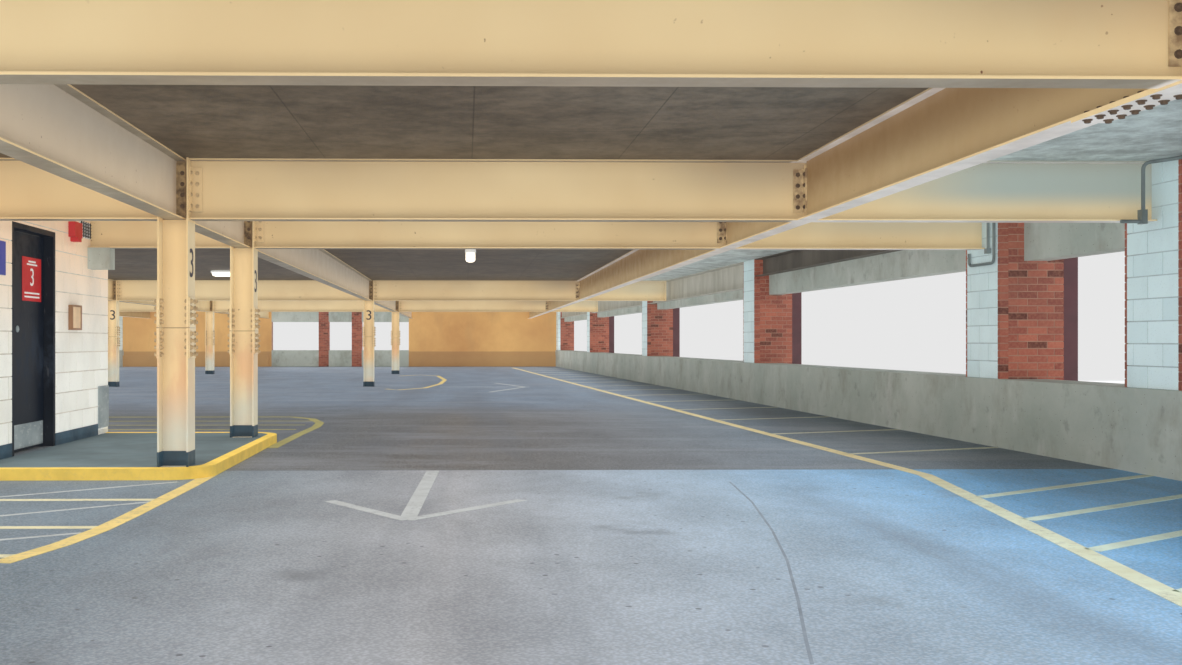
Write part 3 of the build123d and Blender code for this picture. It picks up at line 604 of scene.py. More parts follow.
def glow(name, colour, strength):
    """Lit diffuser of a lamp."""
    paint = Paint(name, 0.3)
    paint.surface.inputs["Emission Color"].default_value = (*colour, 1)
    paint.surface.inputs["Emission Strength"].default_value = strength
    return paint.finish(worn(paint, colour, 0.12, 20))


def clear_glass():
    """Pale ribbed glass of the jar lamps."""
    paint = Paint("jar_glass", 0.12)
    paint.surface.inputs["Transmission Weight"].default_value = 0.85
    paint.surface.inputs["IOR"].default_value = 1.45
    return paint.finish(worn(paint, (0.93, 0.92, 0.88), 0.1, 12))


CREAM = steel_paint()
RUSTY = rusty_paint("rusty_cream", (0.34, 0.23, 0.105), (0.105, 0.062, 0.028))
SMEARED = rusty_paint("smeared_cream", (0.62, 0.46, 0.25), (0.26, 0.165, 0.085))
EDGE_STEEL = edge_steel_paint()
DECK = deck_finish()
PANEL = panel_finish()
BRICKS = brick_finish("red_bricks", (0.215, 0.052, 0.038), (0.4, 0.118, 0.075))
MORTAR = mortar_finish("brick_mortar", (0.38, 0.23, 0.17))
BLOCKS_WARM = block_finish("warm_white_blocks", (0.96, 0.98, 0.93), (0.9, 0.91, 0.85), (0.96, 0.64, 0.38))
BLOCKS_COOL = block_finish("cool_white_blocks", (0.78, 0.93, 0.96), (0.67, 0.83, 0.865), (0.54, 0.68, 0.69))
JOINT_WARM = mortar_finish("warm_joints", (0.74, 0.7, 0.62))
JOINT_COOL = mortar_finish("cool_joints", (0.46, 0.57, 0.59))
END_WALL_PAINT = end_wall_finish()
KERB = flat_paint("kerb_concrete", (0.15, 0.205, 0.225), 0.8, 0.45, scale=2.5)
YELLOW = floor_paint("yellow_road_paint", (0.78, 0.61, 0.235), 0.75)
KERB_YELLOW = floor_paint("kerb_yellow_paint", (0.98, 0.685, 0.13), 0.22)
PALE_YELLOW = floor_paint("old_yellow_road_paint", (0.7, 0.66, 0.44), 0.7)
LANE_YELLOW = floor_paint("lane_road_paint", (0.74, 0.62, 0.33), 0.7, (0.66, 0.71, 0.56))
BAY_YELLOW = floor_paint("bay_road_paint", (0.58, 0.57, 0.43), 0.7, (0.62, 0.74, 0.64))
FADED_YELLOW = floor_paint("faded_yellow_road_paint", (0.36, 0.335, 0.135), 0.8)
CALL_PANEL = flat_paint("call_box_panel", (0.9, 0.66, 0.42), 0.5, 0.3)
BRONZE = flat_paint("bronze_frame", (0.3, 0.15, 0.07), 0.4, 0.3)
WHITE_LINE = floor_paint("old_white_road_paint", (0.5, 0.53, 0.54), 0.9)
NAVY = flat_paint("navy_base_paint", (0.03, 0.075, 0.115), 0.5, 0.5)
BLACK = door_paint()
SHEET = sheet_steel()
RED = flat_paint("red_plate", (0.52, 0.014, 0.018), 0.5, 0.2)
BLUE = flat_paint("blue_plate", (0.035, 0.05, 0.33), 0.4, 0.15)
WHITE = flat_paint("white_enamel", (0.82, 0.82, 0.8), 0.4, 0.12)
DARK = flat_paint("dark_fitting", (0.035, 0.033, 0.035), 0.5, 0.3)
TYRE = flat_paint("tyre_trace", (0.25, 0.3, 0.36), 0.7, 0.35, scale=14.0)
FIN = flat_paint("maroon_fin_paint", (0.075, 0.018, 0.024), 0.5, 0.35)
GALVANISED = flat_paint("grey_conduit", (0.2, 0.24, 0.24), 0.4, 0.5, 0.35)
NUMERAL = flat_paint("numeral_paint", (0.06, 0.05, 0.065), 0.6, 0.3, 0.0, 30.0)
BOLT = flat_paint("bolt_paint", (0.6, 0.43, 0.235), 0.5, 0.6, 0.0, 60.0)
RUSTY_BOLT = flat_paint("rusty_bolts", (0.115, 0.07, 0.04), 0.7, 0.5, 0.0, 60.0)
GLASS = clear_glass()
LIT = glow("lit_diffuser", (1.0, 0.9, 0.72), 2.2)


# Mesh helpers

CORNERS = np.array([[0, 0, 0], [1, 0, 0], [1, 1, 0], [0, 1, 0], [0, 0, 1], [1, 0, 1], [1, 1, 1], [0, 1, 1]])
QUADS = np.array([[0, 3, 2, 1], [4, 5, 6, 7], [0, 1, 5, 4], [1, 2, 6, 5], [2, 3, 7, 6], [3, 0, 4, 7]])


def add_object(name, mesh, material, body=BODY):
    """Puts a finished mesh into the scene as a piece of a body."""
    piece = bpy.data.objects.new(name, mesh)
    bpy.context.scene.collection.objects.link(piece)
    mesh.materials.append(material)
    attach(piece, body)
    return piece


def boxes_piece(name, boxes, material, shape=None, mirrored=False, body=BODY, seed=0):
    """Joined boxes, each with its own tint, bent by a shape function where one is given."""
    boxes = np.asarray(boxes, float)
    low = boxes[:, 0::2]
    size = boxes[:, 1::2] - low
    points = low[:, None, :] + CORNERS[None, :, :] * size[:, None, :]
    points = points.reshape(-1, 3)
    if shape:
        points = shape(points)
    quads = QUADS[:, ::-1] if mirrored else QUADS
    faces = (np.arange(len(boxes))[:, None, None] * 8 + quads[None]).reshape(-1, 4)
    mesh = bpy.data.meshes.new(name)
    mesh.from_pydata(points.tolist(), [], faces.tolist())
    tint = np.repeat(np.random.default_rng(RANDOM_SEED + seed).random(len(boxes)), 6)
    layer = mesh.attributes.new("tint", "FLOAT", "FACE")
    layer.data.foreach_set("value", tint.astype(np.float32))
    return add_object(name, mesh, material, body)


def on_right_wall(points):
    """Local (along, outwards, up) of the right wall to the world."""
    world = points.copy()
    world[:, 1] = points[:, 0] + NEAR_Y
    world[:, 0] = WALL_X_NEAR - points[:, 0] * tan(WALL_SKEW) + points[:, 1] / cos(WALL_SKEW)
    return world


def on_left_wall(points):
    """Local (along, outwards, up) of the left wall to the world."""
    world = on_right_wall(points)
    world[:, 0] *= -1
    return world


def prism_piece(name, outlines, low, high, material):
    """Joined upright prisms on plan outlines given anticlockwise."""
    mesh = bpy.data.meshes.new(name)
    vertices = []
    faces = []
    for outline in outlines:
        count = len(outline)
        base = len(vertices)
        vertices += [(x, y, low) for x, y in outline] + [(x, y, high) for x, y in outline]
        faces.append([base + i for i in range(count)][::-1])
        faces.append([base + count + i for i in range(count)])
        for i in range(count):
            j = (i + 1) % count
            faces.append([base + i, base + j, base + count + j, base + count + i])
    mesh.from_pydata(vertices, [], faces)
    return add_object(name, mesh, material)


def skin_mesh(name, stacks, upwards=False):
    """Joined bodies, each skinned over a stack of rings, downwards or upwards, and closed at both ends."""
    vertices = []
    faces = []
    for rings in stacks:
        count = len(rings[0])
        base = len(vertices)
        for ring in rings:
            vertices += ring
        for row in range(len(rings) - 1):
            for k in range(count):
                a = base + row * count + k
                b = base + row * count + (k + 1) % count
                faces.append([a, b, b + count, a + count] if upwards else [a, a + count, b + count, b])
        first = [base + k for k in range(count)]
        last = [k + (len(rings) - 1) * count for k in first]
        faces += [first[::-1], last] if upwards else [first, last[::-1]]
    mesh = bpy.data.meshes.new(name)
    mesh.from_pydata(vertices, [], faces)
    return mesh


def turns(count):
    """Angles of equal steps round a circle."""
    return [2 * pi * k / count for k in range(count)]


def lathe_mesh(name, profile, segments, centres):
    """Joined turned bodies about upright axes; profile is (radius, height) from the top down."""
    stacks = []
    for x, y, z in centres:
        stacks.append([[(x + radius * cos(turn), y + radius * sin(turn), z + height)
                        for turn in turns(segments)] for radius, height in profile])
    return skin_mesh(name, stacks)


def bolts_piece(name, bolts, radius, height, material=BOLT):
    """Joined hexagon bolt heads on round washers; a bolt is (centre, outward axis)."""
    washer = [(10, radius * 1.45, 0.0), (10, radius * 1.45, height * 0.25)]
    head = [(6, radius, height * 0.25), (6, radius, height * 0.85), (6, radius * 0.75, height)]
    stacks = []
    for centre, axis in bolts:
        centre = Vector(centre)
        axis = Vector(axis)
        side = axis.orthogonal().normalized()
        other = axis.cross(side)
        for rings in (washer, head):
            stacks.append([[tuple(centre + axis * lift + side * wide * cos(turn) + other * wide * sin(turn))
                            for turn in turns(count)] for count, wide, lift in rings])
    return add_object(name, skin_mesh(name, stacks, True), material)


def curve_mesh(curve):
    """Mesh of a curve or a text, without materials."""
    source = bpy.data.objects.new(curve.name + "_curve", curve)
    bpy.context.scene.collection.objects.link(source)
    bpy.context.view_layer.update()
    mesh = bpy.data.meshes.new_from_object(source)
    bpy.data.objects.remove(source)
    mesh.materials.clear()
    return mesh


def text_piece(name, body_text, size, thickness, placement, material, body=BODY):
    """A numeral as a thin raised mesh; placement turns its flat local frame to the world."""
    curve = bpy.data.curves.new(name, "FONT")
    curve.body = body_text
    curve.size = size
    curve.extrude = thickness / 2
    curve.align_x = "CENTER"
    curve.align_y = "CENTER"
    mesh = curve_mesh(curve)
    mesh.transform(placement)
    mesh.name = name
    return add_object(name, mesh, material, body)


def facing(point, right, up):
    """Matrix that puts a flat shape at a point with its local X and Y along two directions."""
    right = Vector(right).normalized()
    up = Vector(up).normalized()
    out = right.cross(up)
    matrix = Matrix((right, up, out)).transposed().to_4x4()
    matrix.translation = Vector(point)
    return matrix


def tube_piece(name, routes, radius, material):
    """Joined round tubes along routes of points, with rounded elbows."""
    curve = bpy.data.curves.new(name, "CURVE")
    curve.dimensions = "3D"
    curve.bevel_depth = radius
    curve.bevel_resolution = 2
    curve.use_fill_caps = True
    for route in routes:
        spline = curve.splines.new("POLY")
        points = rounded(route, radius * 4)
        spline.points.add(len(points) - 1)
        for target, point in zip(spline.points, points):
            target.co = (*point, 1)
    mesh = curve_mesh(curve)
    for polygon in mesh.polygons:
        polygon.use_smooth = True
    return add_object(name, mesh, material)


def rounded(route, radius):
    """The route with each inner corner turned into a short bend."""
    steps = 5
    points = [Vector(route[0])]
    for before, corner, after in zip(route[:-2], route[1:-1], route[2:]):
        corner = Vector(corner)
        start = corner + (Vector(before) - corner).normalized() * radius
        end = corner + (Vector(after) - corner).normalized() * radius
        for step in range(steps + 1):
            t = step / steps
            points.append(start.lerp(corner, t).lerp(corner.lerp(end, t), t))
    points.append(Vector(route[-1]))
    return points


# Masonry


def run(start, end, unit, joint, shift):
    """Intervals of units laid from start to end, the first cut short by a shift."""
    at = start - shift
    pieces = []
    while at < end:
        low = max(at, start)
        high = min(at + unit, end)
        if high - low > joint * 2:
            pieces.append((low, high))
        at += unit + joint
    return pieces


def courses(low, high, unit, joint):
    """Bottom and top of every course between two heights."""
    count = max(1, round((high - low) / (unit + joint)))
    pitch = (high - low) / count
    return [(low + k * pitch + joint / 2, low + (k + 1) * pitch - joint / 2) for k in range(count)]


def pier_bricks(s0, s1, d0, d1, z0, z1):
    """Bricks round the four faces of a pier, stretchers and headers alternating at its corners."""
    length, width, height = BRICK
    joint = BRICK_JOINT
    bricks = []
    for index, (low, high) in enumerate(courses(z0, z1, height, joint)):
        odd = index % 2
        inset = (width + joint) * odd
        for a, b in run(s0 + inset, s1 - inset, length, joint, 0):
            bricks.append((a, b, d0, d0 + width, low, high))
            bricks.append((a, b, d1 - width, d1, low, high))
        inset = (width + joint) * (1 - odd)
        for a, b in run(d0 + inset, d1 - inset, length, joint, 0):
            bricks.append((s0, s0 + width, a, b, low, high))
            bricks.append((s1 - width, s1, a, b, low, high))
    return bricks


def inset_box(box):
    """The box drawn in by the joint depth on every upright face and the top."""
    by = JOINT_DEPTH
    a0, a1, b0, b1, c0, c1 = box
    return (a0 + by, a1 - by, b0 + by, b1 - by, c0, c1 - by)


def pier_set(name, piers, node, shape=None, mirrored=False, seed=0):
    """Brick piers with their mortar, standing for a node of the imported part."""
    bricks = [brick for pier in piers for brick in pier_bricks(*pier)]
    laid = boxes_piece(name + "_bricks", bricks, BRICKS, shape, mirrored, seed=seed)
    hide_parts(node)
    boxes_piece(name + "_mortar", [inset_box(pier) for pier in piers], MORTAR, shape, mirrored)


def side_piers():
    """Piers of a side wall, along and outwards of it."""
    half = PIER_BRICK_WIDTH / 2
    length = FAR_Y - NEAR_Y
    spans = [(y - NEAR_Y - half, y - NEAR_Y + half) for y in PIER_Y]
    spans += [(-END_WALL, PIER_BRICK_WIDTH), (length - PIER_BRICK_WIDTH, length + END_WALL)]
    return [(*span, PIER_BLOCK_DEPTH, PIER_OUTER, 0, WALL_TOP) for span in spans]


def front_piers():
    """Piers of the near end, in front of the columns and aisle girders."""
    half = PIER_BRICK_WIDTH / 2
    lines = (-GIRDER_X, -COLUMN_X, COLUMN_X, GIRDER_X)
    return [(x - half, x + half, NEAR_Y - END_WALL, NEAR_Y, 0, WALL_TOP) for x in lines]


def rear_piers():
    """Slender piers of the far end, either side of the middle bay."""
    low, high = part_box("rear_brick_piers")
    width = 0.225
    return [(x, x + width, low.y, high.y, 0, WALL_TOP) for x in (low.x, high.x - width)]


def wall_units(width, z0, z1, unit, joint, openings=()):
    """Units of a flat wall face in running bond, cut round openings given as (u0, u1, z0, z1)."""
    units = []
    for index, (low, high) in enumerate(courses(z0, z1, unit[2], joint)):
        shift = (unit[0] + joint) / 2 * (index % 2)
        for a, b in run(0, width, unit[0], joint, shift):
            parts = [(a, b, low, high)]
            for u0, u1, w0, w1 in openings:
                parts = [cut for part in parts for cut in cut_unit(part, u0, u1, w0, w1)]
            units += parts
    return units


def cut_unit(part, u0, u1, w0, w1):
    """What is left of one unit beside and over an opening."""
    a, b, low, high = part
    if b <= u0 or a >= u1 or high <= w0 or low >= w1:
        return [part]
    least = 0.004
    left = [(a, u0, low, high)] if u0 - a > least else []
    right = [(u1, b, low, high)] if b - u1 > least else []
    middle = [(max(a, u0), min(b, u1), w1, high)] if high - w1 > least else []
    return left + right + middle


def lobby_walls(level):
    """Painted blockwork of the core on one storey, outside and inside, round the doorway."""
    z0 = FLOORS[level]
    z1 = z0 + SOFFIT
    near, far = LOBBY_Y
    half = LOBBY_HALF
    thick = BLOCK[1]
    door = [(DOORWAY_Y[0] - near, DOORWAY_Y[1] - near, z0, z0 + ISLAND_HEIGHT + DOORWAY_HEIGHT)]
    blocks = []
    for u0, u1, low, high in wall_units(far - near, z0, z1, BLOCK, BLOCK_JOINT, door):
        blocks.append((half - thick, half, near + u0, near + u1, low, high))
    for u0, u1, low, high in wall_units(far - near, z0, z1, BLOCK, BLOCK_JOINT):
        blocks.append((-half, -half + thick, near + u0, near + u1, low, high))
    for u0, u1, low, high in wall_units(2 * (half - thick), z0, z1, BLOCK, BLOCK_JOINT):
        blocks.append((thick - half + u0, thick - half + u1, near, near + thick, low, high))
        blocks.append((thick - half + u0, thick - half + u1, far - thick, far, low, high))
    name = f"lobby_walls_level_{level + 1}"
    laid = boxes_piece(f"lobby_blocks_level_{level + 1}", blocks, BLOCKS_WARM, seed=40 + level)
    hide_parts(name)
    joint = JOINT_DEPTH
    inner = LOBBY_INNER
    head = z0 + ISLAND_HEIGHT + DOORWAY_HEIGHT
    core = [(-half + joint, -inner, near + joint, far - joint, z0, z1),
            (-inner, inner, near + joint, near + LOBBY_WALL, z0, z1),
            (-inner, inner, far - LOBBY_WALL, far - joint, z0, z1),
            (inner, half - joint, near + joint, DOORWAY_Y[0], z0, z1),
            (inner, half - joint, DOORWAY_Y[1], far - joint, z0, z1),
            (inner, half - joint, DOORWAY_Y[0], DOORWAY_Y[1], head, z1)]
    boxes_piece(f"lobby_joints_level_{level + 1}", core, JOINT_WARM)


def block_facings():
    """Painted blockwork on the inside of the brick piers, course on course."""
    inset = (PIER_BRICK_WIDTH - PIER_BLOCK_WIDTH) / 2
    half = PIER_BLOCK_WIDTH / 2
    length = FAR_Y - NEAR_Y
    spots = [(y - NEAR_Y - half, y - NEAR_Y + half) for y in PIER_Y]
    spots += [(0.0, PIER_BRICK_WIDTH - inset), (length - PIER_BRICK_WIDTH + inset, length)]
    blocks = []
    cores = []
    for level in range(COVERED):
        z0 = FLOORS[level] + UPSTAND_HEIGHT
        z1 = FLOORS[level] + SOFFIT
        for s0, s1 in spots:
            for u0, u1, low, high in wall_units(s1 - s0, z0, z1, BLOCK, BLOCK_JOINT):
                blocks.append((s0 + u0, s0 + u1, 0, PIER_BLOCK_DEPTH, low, high))
            cores.append((s0 + JOINT_DEPTH, s1 - JOINT_DEPTH, JOINT_DEPTH, PIER_BLOCK_DEPTH, z0, z1))
    right = boxes_piece("facing_blocks_right", blocks, BLOCKS_COOL, on_right_wall, True,
                        seed=51)
    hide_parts("block_facings")
    boxes_piece("facing_blocks_left", blocks, BLOCKS_COOL, on_left_wall, seed=52)
    boxes_piece("facing_joints_right", cores, JOINT_COOL, on_right_wall, True)
    boxes_piece("facing_joints_left", cores, JOINT_COOL, on_left_wall)


def pier_cheeks():
    """Bricks that close the pier's ends beside the painted blocks, course by course."""
    bricks = []
    mortar = []
    inner = PIER_BLOCK_WIDTH / 2
    outer = PIER_BRICK_WIDTH / 2
    for level in range(COVERED):
        z0 = FLOORS[level] + UPSTAND_HEIGHT
        z1 = FLOORS[level] + SOFFIT
        for y in PIER_Y:
            for end in SIDES:
                s0, s1 = sorted((y - NEAR_Y + end * inner, y - NEAR_Y + end * outer))
                for low, high in courses(z0, z1, BRICK[2], BRICK_JOINT):
                    bricks.append((s0, s1, JOINT_DEPTH, PIER_BLOCK_DEPTH, low, high))
                core = (s0, s1 - JOINT_DEPTH) if end > 0 else (s0 + JOINT_DEPTH, s1)
                mortar.append((*core, JOINT_DEPTH * 2, PIER_BLOCK_DEPTH, z0, z1))
    for side, shape, mirrored in (("right", on_right_wall, True), ("left", on_left_wall, False)):
        boxes_piece(f"cheek_bricks_{side}", bricks, BRICKS, shape, mirrored, seed=71)
        boxes_piece(f"cheek_mortar_{side}", mortar, MORTAR, shape, mirrored)


def both_sides(x0, x1, *rest):
    """A box right of the centre line and its mirror on the left."""
    return [(x0, x1, *rest), (-x1, -x0, *rest)]


def rear_walls():
    """Solid end walls: painted inside, faced with brick outside."""
    low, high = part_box("rear_walls")
    x0 = COLUMN_X - COLUMN_DEPTH / 2
    x1 = wall_x(FAR_Y, PIER_BLOCK_DEPTH) - 0.001
    skin = 0.02
    roof = FLOORS[-1]
    bricks = []
    for u0, u1, z0, z1 in wall_units(x1 - x0, 0, WALL_TOP, BRICK, BRICK_JOINT):
        bricks += both_sides(x0 + u0, x0 + u1, high.y - BRICK[1], high.y, z0, z1)
    outside = boxes_piece("rear_wall_bricks", bricks, BRICKS, seed=61)
    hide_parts("rear_walls")
    core = both_sides(x0, x1, low.y + skin, high.y - JOINT_DEPTH, 0, WALL_TOP - JOINT_DEPTH)
    boxes_piece("rear_wall_mortar", core, MORTAR)
    plaster = both_sides(x0, x1, low.y, low.y + skin, 0, roof)
    boxes_piece("rear_wall_plaster", plaster, END_WALL_PAINT)
    parapet = []
    for u0, u1, z0, z1 in wall_units(x1 - x0, roof, WALL_TOP, BRICK, BRICK_JOINT):
        parapet += both_sides(x0 + u0, x0 + u1, low.y, low.y + skin, z0, z1)
    boxes_piece("rear_parapet_bricks", parapet, BRICKS, seed=62)


# Ironmongery


def frames():
    """Floor height and station of every frame on every covered level."""
    return [(FLOORS[level], y) for level in range(COVERED) for y in GRID_Y]


def web_rows(floor):
    """Heights of the four bolts through a beam's web over a floor."""
    return [floor + (SOFFIT - BEAM_DEPTH / 2) + (k - 1.5) * WEB_BOLT_PITCH for k in range(4)]


def splice_bolts():
    """Bolts on every column splice plate, with their nuts on the inner side of the flange."""
    first = 0.024
    pitch = 0.029
    gauge = 0.036
    rows = [sign * (first + pitch * k) for sign in SIDES for k in range(4)]
    plate = COLUMN_DEPTH / 2 + 0.005
    inner = COLUMN_DEPTH / 2 - COLUMN_FLANGE
    spots = list(product((-gauge, gauge), rows))
    bolts = []
    for (floor, y), side, face in product(frames(), SIDES, SIDES):
        for reach, out in ((plate, face), (inner, -face)):
            x = side * COLUMN_X + face * reach
            bolts += [((x, y + dy, floor + SPLICE_HEIGHT + dz), (out, 0, 0)) for dy, dz in spots]
    return bolts


def cleat_bolts():
    """Bolts through the web angles at the columns, on both legs."""
    leg = 0.026
    thick = 0.005
    bolts = []
    for (floor, y), side, face in product(frames(), SIDES, SIDES):
        heel = side * COLUMN_X + face * COLUMN_DEPTH / 2
        web = y - BEAM_WEB / 2
        for z in web_rows(floor):
            bolts.append(((heel + face * leg, web - thick, z), (0, -1, 0)))
            bolts.append(((heel + face * thick, web - leg, z), (face, 0, 0)))
    return bolts


def girder_cleats():
    """Web angles where the aisle girders meet the transverse beams; returns their bolts."""
    leg = 0.045
    thick = 0.005
    height = 0.185
    stub = 0.02
    gauge = leg * 0.6
    half = BEAM_WEB / 2
    reach = BEAM_WIDTH / 2 + 0.002
    boxes = []
    bolts = []
    for (floor, y), end, side in product(frames(), SIDES, SIDES):
        z = floor + (SOFFIT - BEAM_DEPTH / 2)
        low = z - height / 2
        high = z + height / 2
        x = side * GIRDER_X
        web = y + end * half
        boxes.append((x - half, x + half, *sorted((web, y + end * reach)), low - stub, high + stub))
        for hand in SIDES:
            face = x + hand * half
            heel = face + hand * thick
            boxes.append((*sorted((face, heel)), *sorted((web, web + end * leg)), low, high))
            boxes.append((*sorted((heel, face + hand * leg)), *sorted((web, web + end * thick)), low, high))
            for row in web_rows(floor):
                bolts.append(((heel, web + end * gauge, row), (hand, 0, 0)))
                bolts.append(((face + hand * gauge, web + end * thick, row), (0, end, 0)))
    boxes_piece("girder_web_angles", boxes, SMEARED)
    return bolts


def strap_bolts():
    """Two rows of six bolts under each girder strap, each side of the beam, with nuts on the flange above."""
    strap = 0.006
    gauge = 0.024
    first = 0.075
    pitch = 0.052
    bolts = []
    for level, side, row, end, k in product(range(COVERED), SIDES, SIDES, SIDES, range(6)):
        z = FLOORS[level] + BEAM_BOTTOM - strap
        x = side * GIRDER_X + row * gauge
        y = GRID_Y[0] + end * (first + pitch * k)
        bolts.append(((x, y, z), (0, 0, -1)))
        bolts.append(((x, y, z + strap + BEAM_FLANGE), (0, 0, 1)))
    return bolts


def column_line_plates():
    """End plates that close the girder ends on the column webs; returns their bolts."""
    back = 0.0023
    front = 0.0105
    width = 0.04
    gauge = 0.028
    gap = 0.01
    boxes = []
    for (floor, y), side, end, hand in product(frames(), SIDES, SIDES, SIDES):
        x = side * COLUMN_X
        xs = sorted((x + hand * back, x + hand * width))
        ys = sorted((y + end * back, y + end * front))
        low = floor + BEAM_BOTTOM + BEAM_FLANGE
        boxes.append((*xs, *ys, low + gap, floor + SOFFIT - BEAM_FLANGE - gap))
    boxes_piece("column_line_end_plates", boxes, RUSTY)
    bolts = []
    for (floor, y), end, side, hand in product(frames(), SIDES, SIDES, SIDES):
        x = side * COLUMN_X + hand * gauge
        bolts += [((x, y + end * front, z), (0, end, 0)) for z in web_rows(floor)]
    return bolts


# Paint on the floors and the foot of the walls

PAINT_THICKNESS = 0.0012
LINE_WIDTH = 0.064
SWEEP_WIDTH = 0.06
STRIPE_WIDTH = 0.045
THIN_STRIPE_WIDTH = 0.022
KERB_EDGE_WIDTH = 0.05
KERB_FACE_WIDTH = 0.0016
WALL_GAP = 0.03
# Distances of the first and last mark from the ends of the building and from the bend of the lane line
LANE_FROM_ENDS = (2.2, 1.2)
BAYS_FROM_BEND = 0.9
BAYS_FROM_END = 1.5
BAY_PITCH = 1.25
BAY_SLANT = 0.35
HATCH_FROM_END = 2.85
HATCH_FROM_BEND = 0.4
HATCH_PITCH = 0.53
HATCH_SLOPE = 0.65

# Photograph pixels that the paint runs through
LANE_BENDS = ((1182, 600), (925, 475), (560, 380))
ARROW_STROKES = (((433, 471), (407, 520), 0.055), ((330, 501), (407, 520), 0.045),
                 ((522, 500), (407, 520), 0.045), ((440, 387), (530, 387), 0.05),
                 ((495, 383), (525, 387), 0.05), ((490, 392), (525, 387), 0.05))
TYRE_TRACE = ((730, 482), (752, 502), (772, 530), (787, 560), (798, 600), (806, 640), (812, 664))
COLUMN_OUTLINE = ((386, 389), (398, 390), (425, 388), (440, 384), (445, 380), (438, 376), (420, 375),
                  (400, 376))
NEAR_SWEEP = ((0, 563), (60, 545), (100, 530), (130, 516), (160, 501), (190, 486), (212, 474))
NEAR_STRIPES = ((80, 500), (80, 527.5), (80, 556))
WHITE_STRIPES = (((0, 497), (178, 482)), ((0, 516), (150, 502)), ((0, 540), (82, 533)))
FAR_SWEEP = ((272, 448), (298, 435), (316, 427), (320, 423), (312, 419), (292, 417), (262, 417))
FAR_STRIPES = ((312, 421.0), (305, 425.0), (296, 429.5))


def photo_floor(u, v):
    """Plan place of a floor pixel of the photograph."""
    focal = IMAGE_WIDTH_PX * LENS / SENSOR_WIDTH
    drop = CAMERA_PLACE[2] - FLOORS[SHOWN_LEVEL]
    depth = focal * drop / (v - PRINCIPAL_PX[1])
    lateral = (u - PRINCIPAL_PX[0]) / focal * depth
    x = CAMERA_PLACE[0] + lateral * cos(CAMERA_YAW) + depth * sin(CAMERA_YAW)
    y = CAMERA_PLACE[1] + depth * cos(CAMERA_YAW) - lateral * sin(CAMERA_YAW)
    return Vector((x, y))


def traced(pixels):
    """Plan places of several floor pixels."""
    return [photo_floor(*pixel) for pixel in pixels]


def stripe(start, end, width):
    """Outline of a straight painted stripe."""
    start = Vector(start)
    end = Vector(end)
    along = (end - start).normalized()
    across = Vector((-along.y, along.x)) * width / 2
    return [tuple(start - across), tuple(end - across), tuple(end + across), tuple(start + across)]


def band(points, width):
    """Outlines of a painted band along a bent line, mitred at its bends."""
    points = [Vector(p) for p in points]
    sides = []
    for i in range(len(points)):
        before = points[max(i - 1, 0)]
        after = points[min(i + 1, len(points) - 1)]
        along = (after - before).normalized()
        sides.append(Vector((-along.y, along.x)) * width / 2)
    outlines = []
    for i in range(len(points) - 1):
        outlines.append([tuple(points[i] - sides[i]), tuple(points[i + 1] - sides[i + 1]),
                         tuple(points[i + 1] + sides[i + 1]), tuple(points[i] + sides[i])])
    return outlines


def arc(centre, radius, start, end):
    """Points of an arc, angles in degrees."""
    steps = 10
    spots = []
    for k in range(steps + 1):
        angle = radians(start + (end - start) * k / steps)
        spots.append((centre[0] + radius * cos(angle), centre[1] + radius * sin(angle)))
    return spots


def lane_x(y):
    """X of the lane line's centre at a station; it bends inwards towards the near end."""
    bends = traced(LANE_BENDS)
    first, second = (bends[0], bends[1]) if y < bends[1].y else (bends[1], bends[2])
    return first.x + (second.x - first.x) * (y - first.y) / (second.y - first.y)


def road_paint(name, level, outlines, material, lower=0.0):
    """Painted outlines on the floor of a level; coats that cross lie at slightly different heights."""
    floor = FLOORS[level]
    top = floor + PAINT_THICKNESS - lower
    prism_piece(f"{name}_level_{level + 1}", outlines, floor, top, material)


def floor_markings(level):
    """Lane line, bay lines, near hatching, arrows and tyre trace of one covered level."""
    bend = photo_floor(*LANE_BENDS[1]).y
    stations = (NEAR_Y + LANE_FROM_ENDS[0], bend, FAR_Y - LANE_FROM_ENDS[1])
    road_paint("lane_line", level, band([(lane_x(y), y) for y in stations], LINE_WIDTH), LANE_YELLOW)

    lines = []
    y = bend + BAYS_FROM_BEND
    while y < FAR_Y - BAYS_FROM_END:
        end = (wall_x(y, -UPSTAND_PROUD - WALL_GAP), y + BAY_SLANT)
        lines.append(stripe((lane_x(y), y), end, LINE_WIDTH * 0.7))
        y += BAY_PITCH
    y = NEAR_Y + HATCH_FROM_END
    while y < bend - HATCH_FROM_BEND:
        start = lane_x(y) + LINE_WIDTH / 2
        run_out = wall_x(y, -UPSTAND_PROUD - WALL_GAP) - start
        lines.append(stripe((start, y), (start + run_out, y + run_out * HATCH_SLOPE), LINE_WIDTH * 0.75))
        y += HATCH_PITCH
    road_paint("bay_lines", level, lines, BAY_YELLOW)

    for index, (start, end, width) in enumerate(ARROW_STROKES):
        outline = [stripe(photo_floor(*start), photo_floor(*end), width)]
        road_paint(f"arrow_{index}", level, outline, WHITE_LINE, index * 0.0001)
    trace = band(traced(TYRE_TRACE), 0.007)
    road_paint("tyre_trace", level, trace, TYRE, PAINT_THICKNESS - 0.0004)
    ring = band(traced(COLUMN_OUTLINE), SWEEP_WIDTH)
    road_paint("column_outline", level, ring, YELLOW)


def island_edge(inset):
    """Outline of the island from the core round both corners, drawn in by a distance."""
    middle = ISLAND_EDGE - ISLAND_RADIUS
    radius = ISLAND_RADIUS - inset
    near, far = ISLAND_Y
    outline = [(LOBBY_HALF, near + inset)] + arc((middle, near + ISLAND_RADIUS), radius, -90, 0)
    return outline + arc((middle, far - ISLAND_RADIUS), radius, 0, 90) + [(LOBBY_HALF, far - inset)]


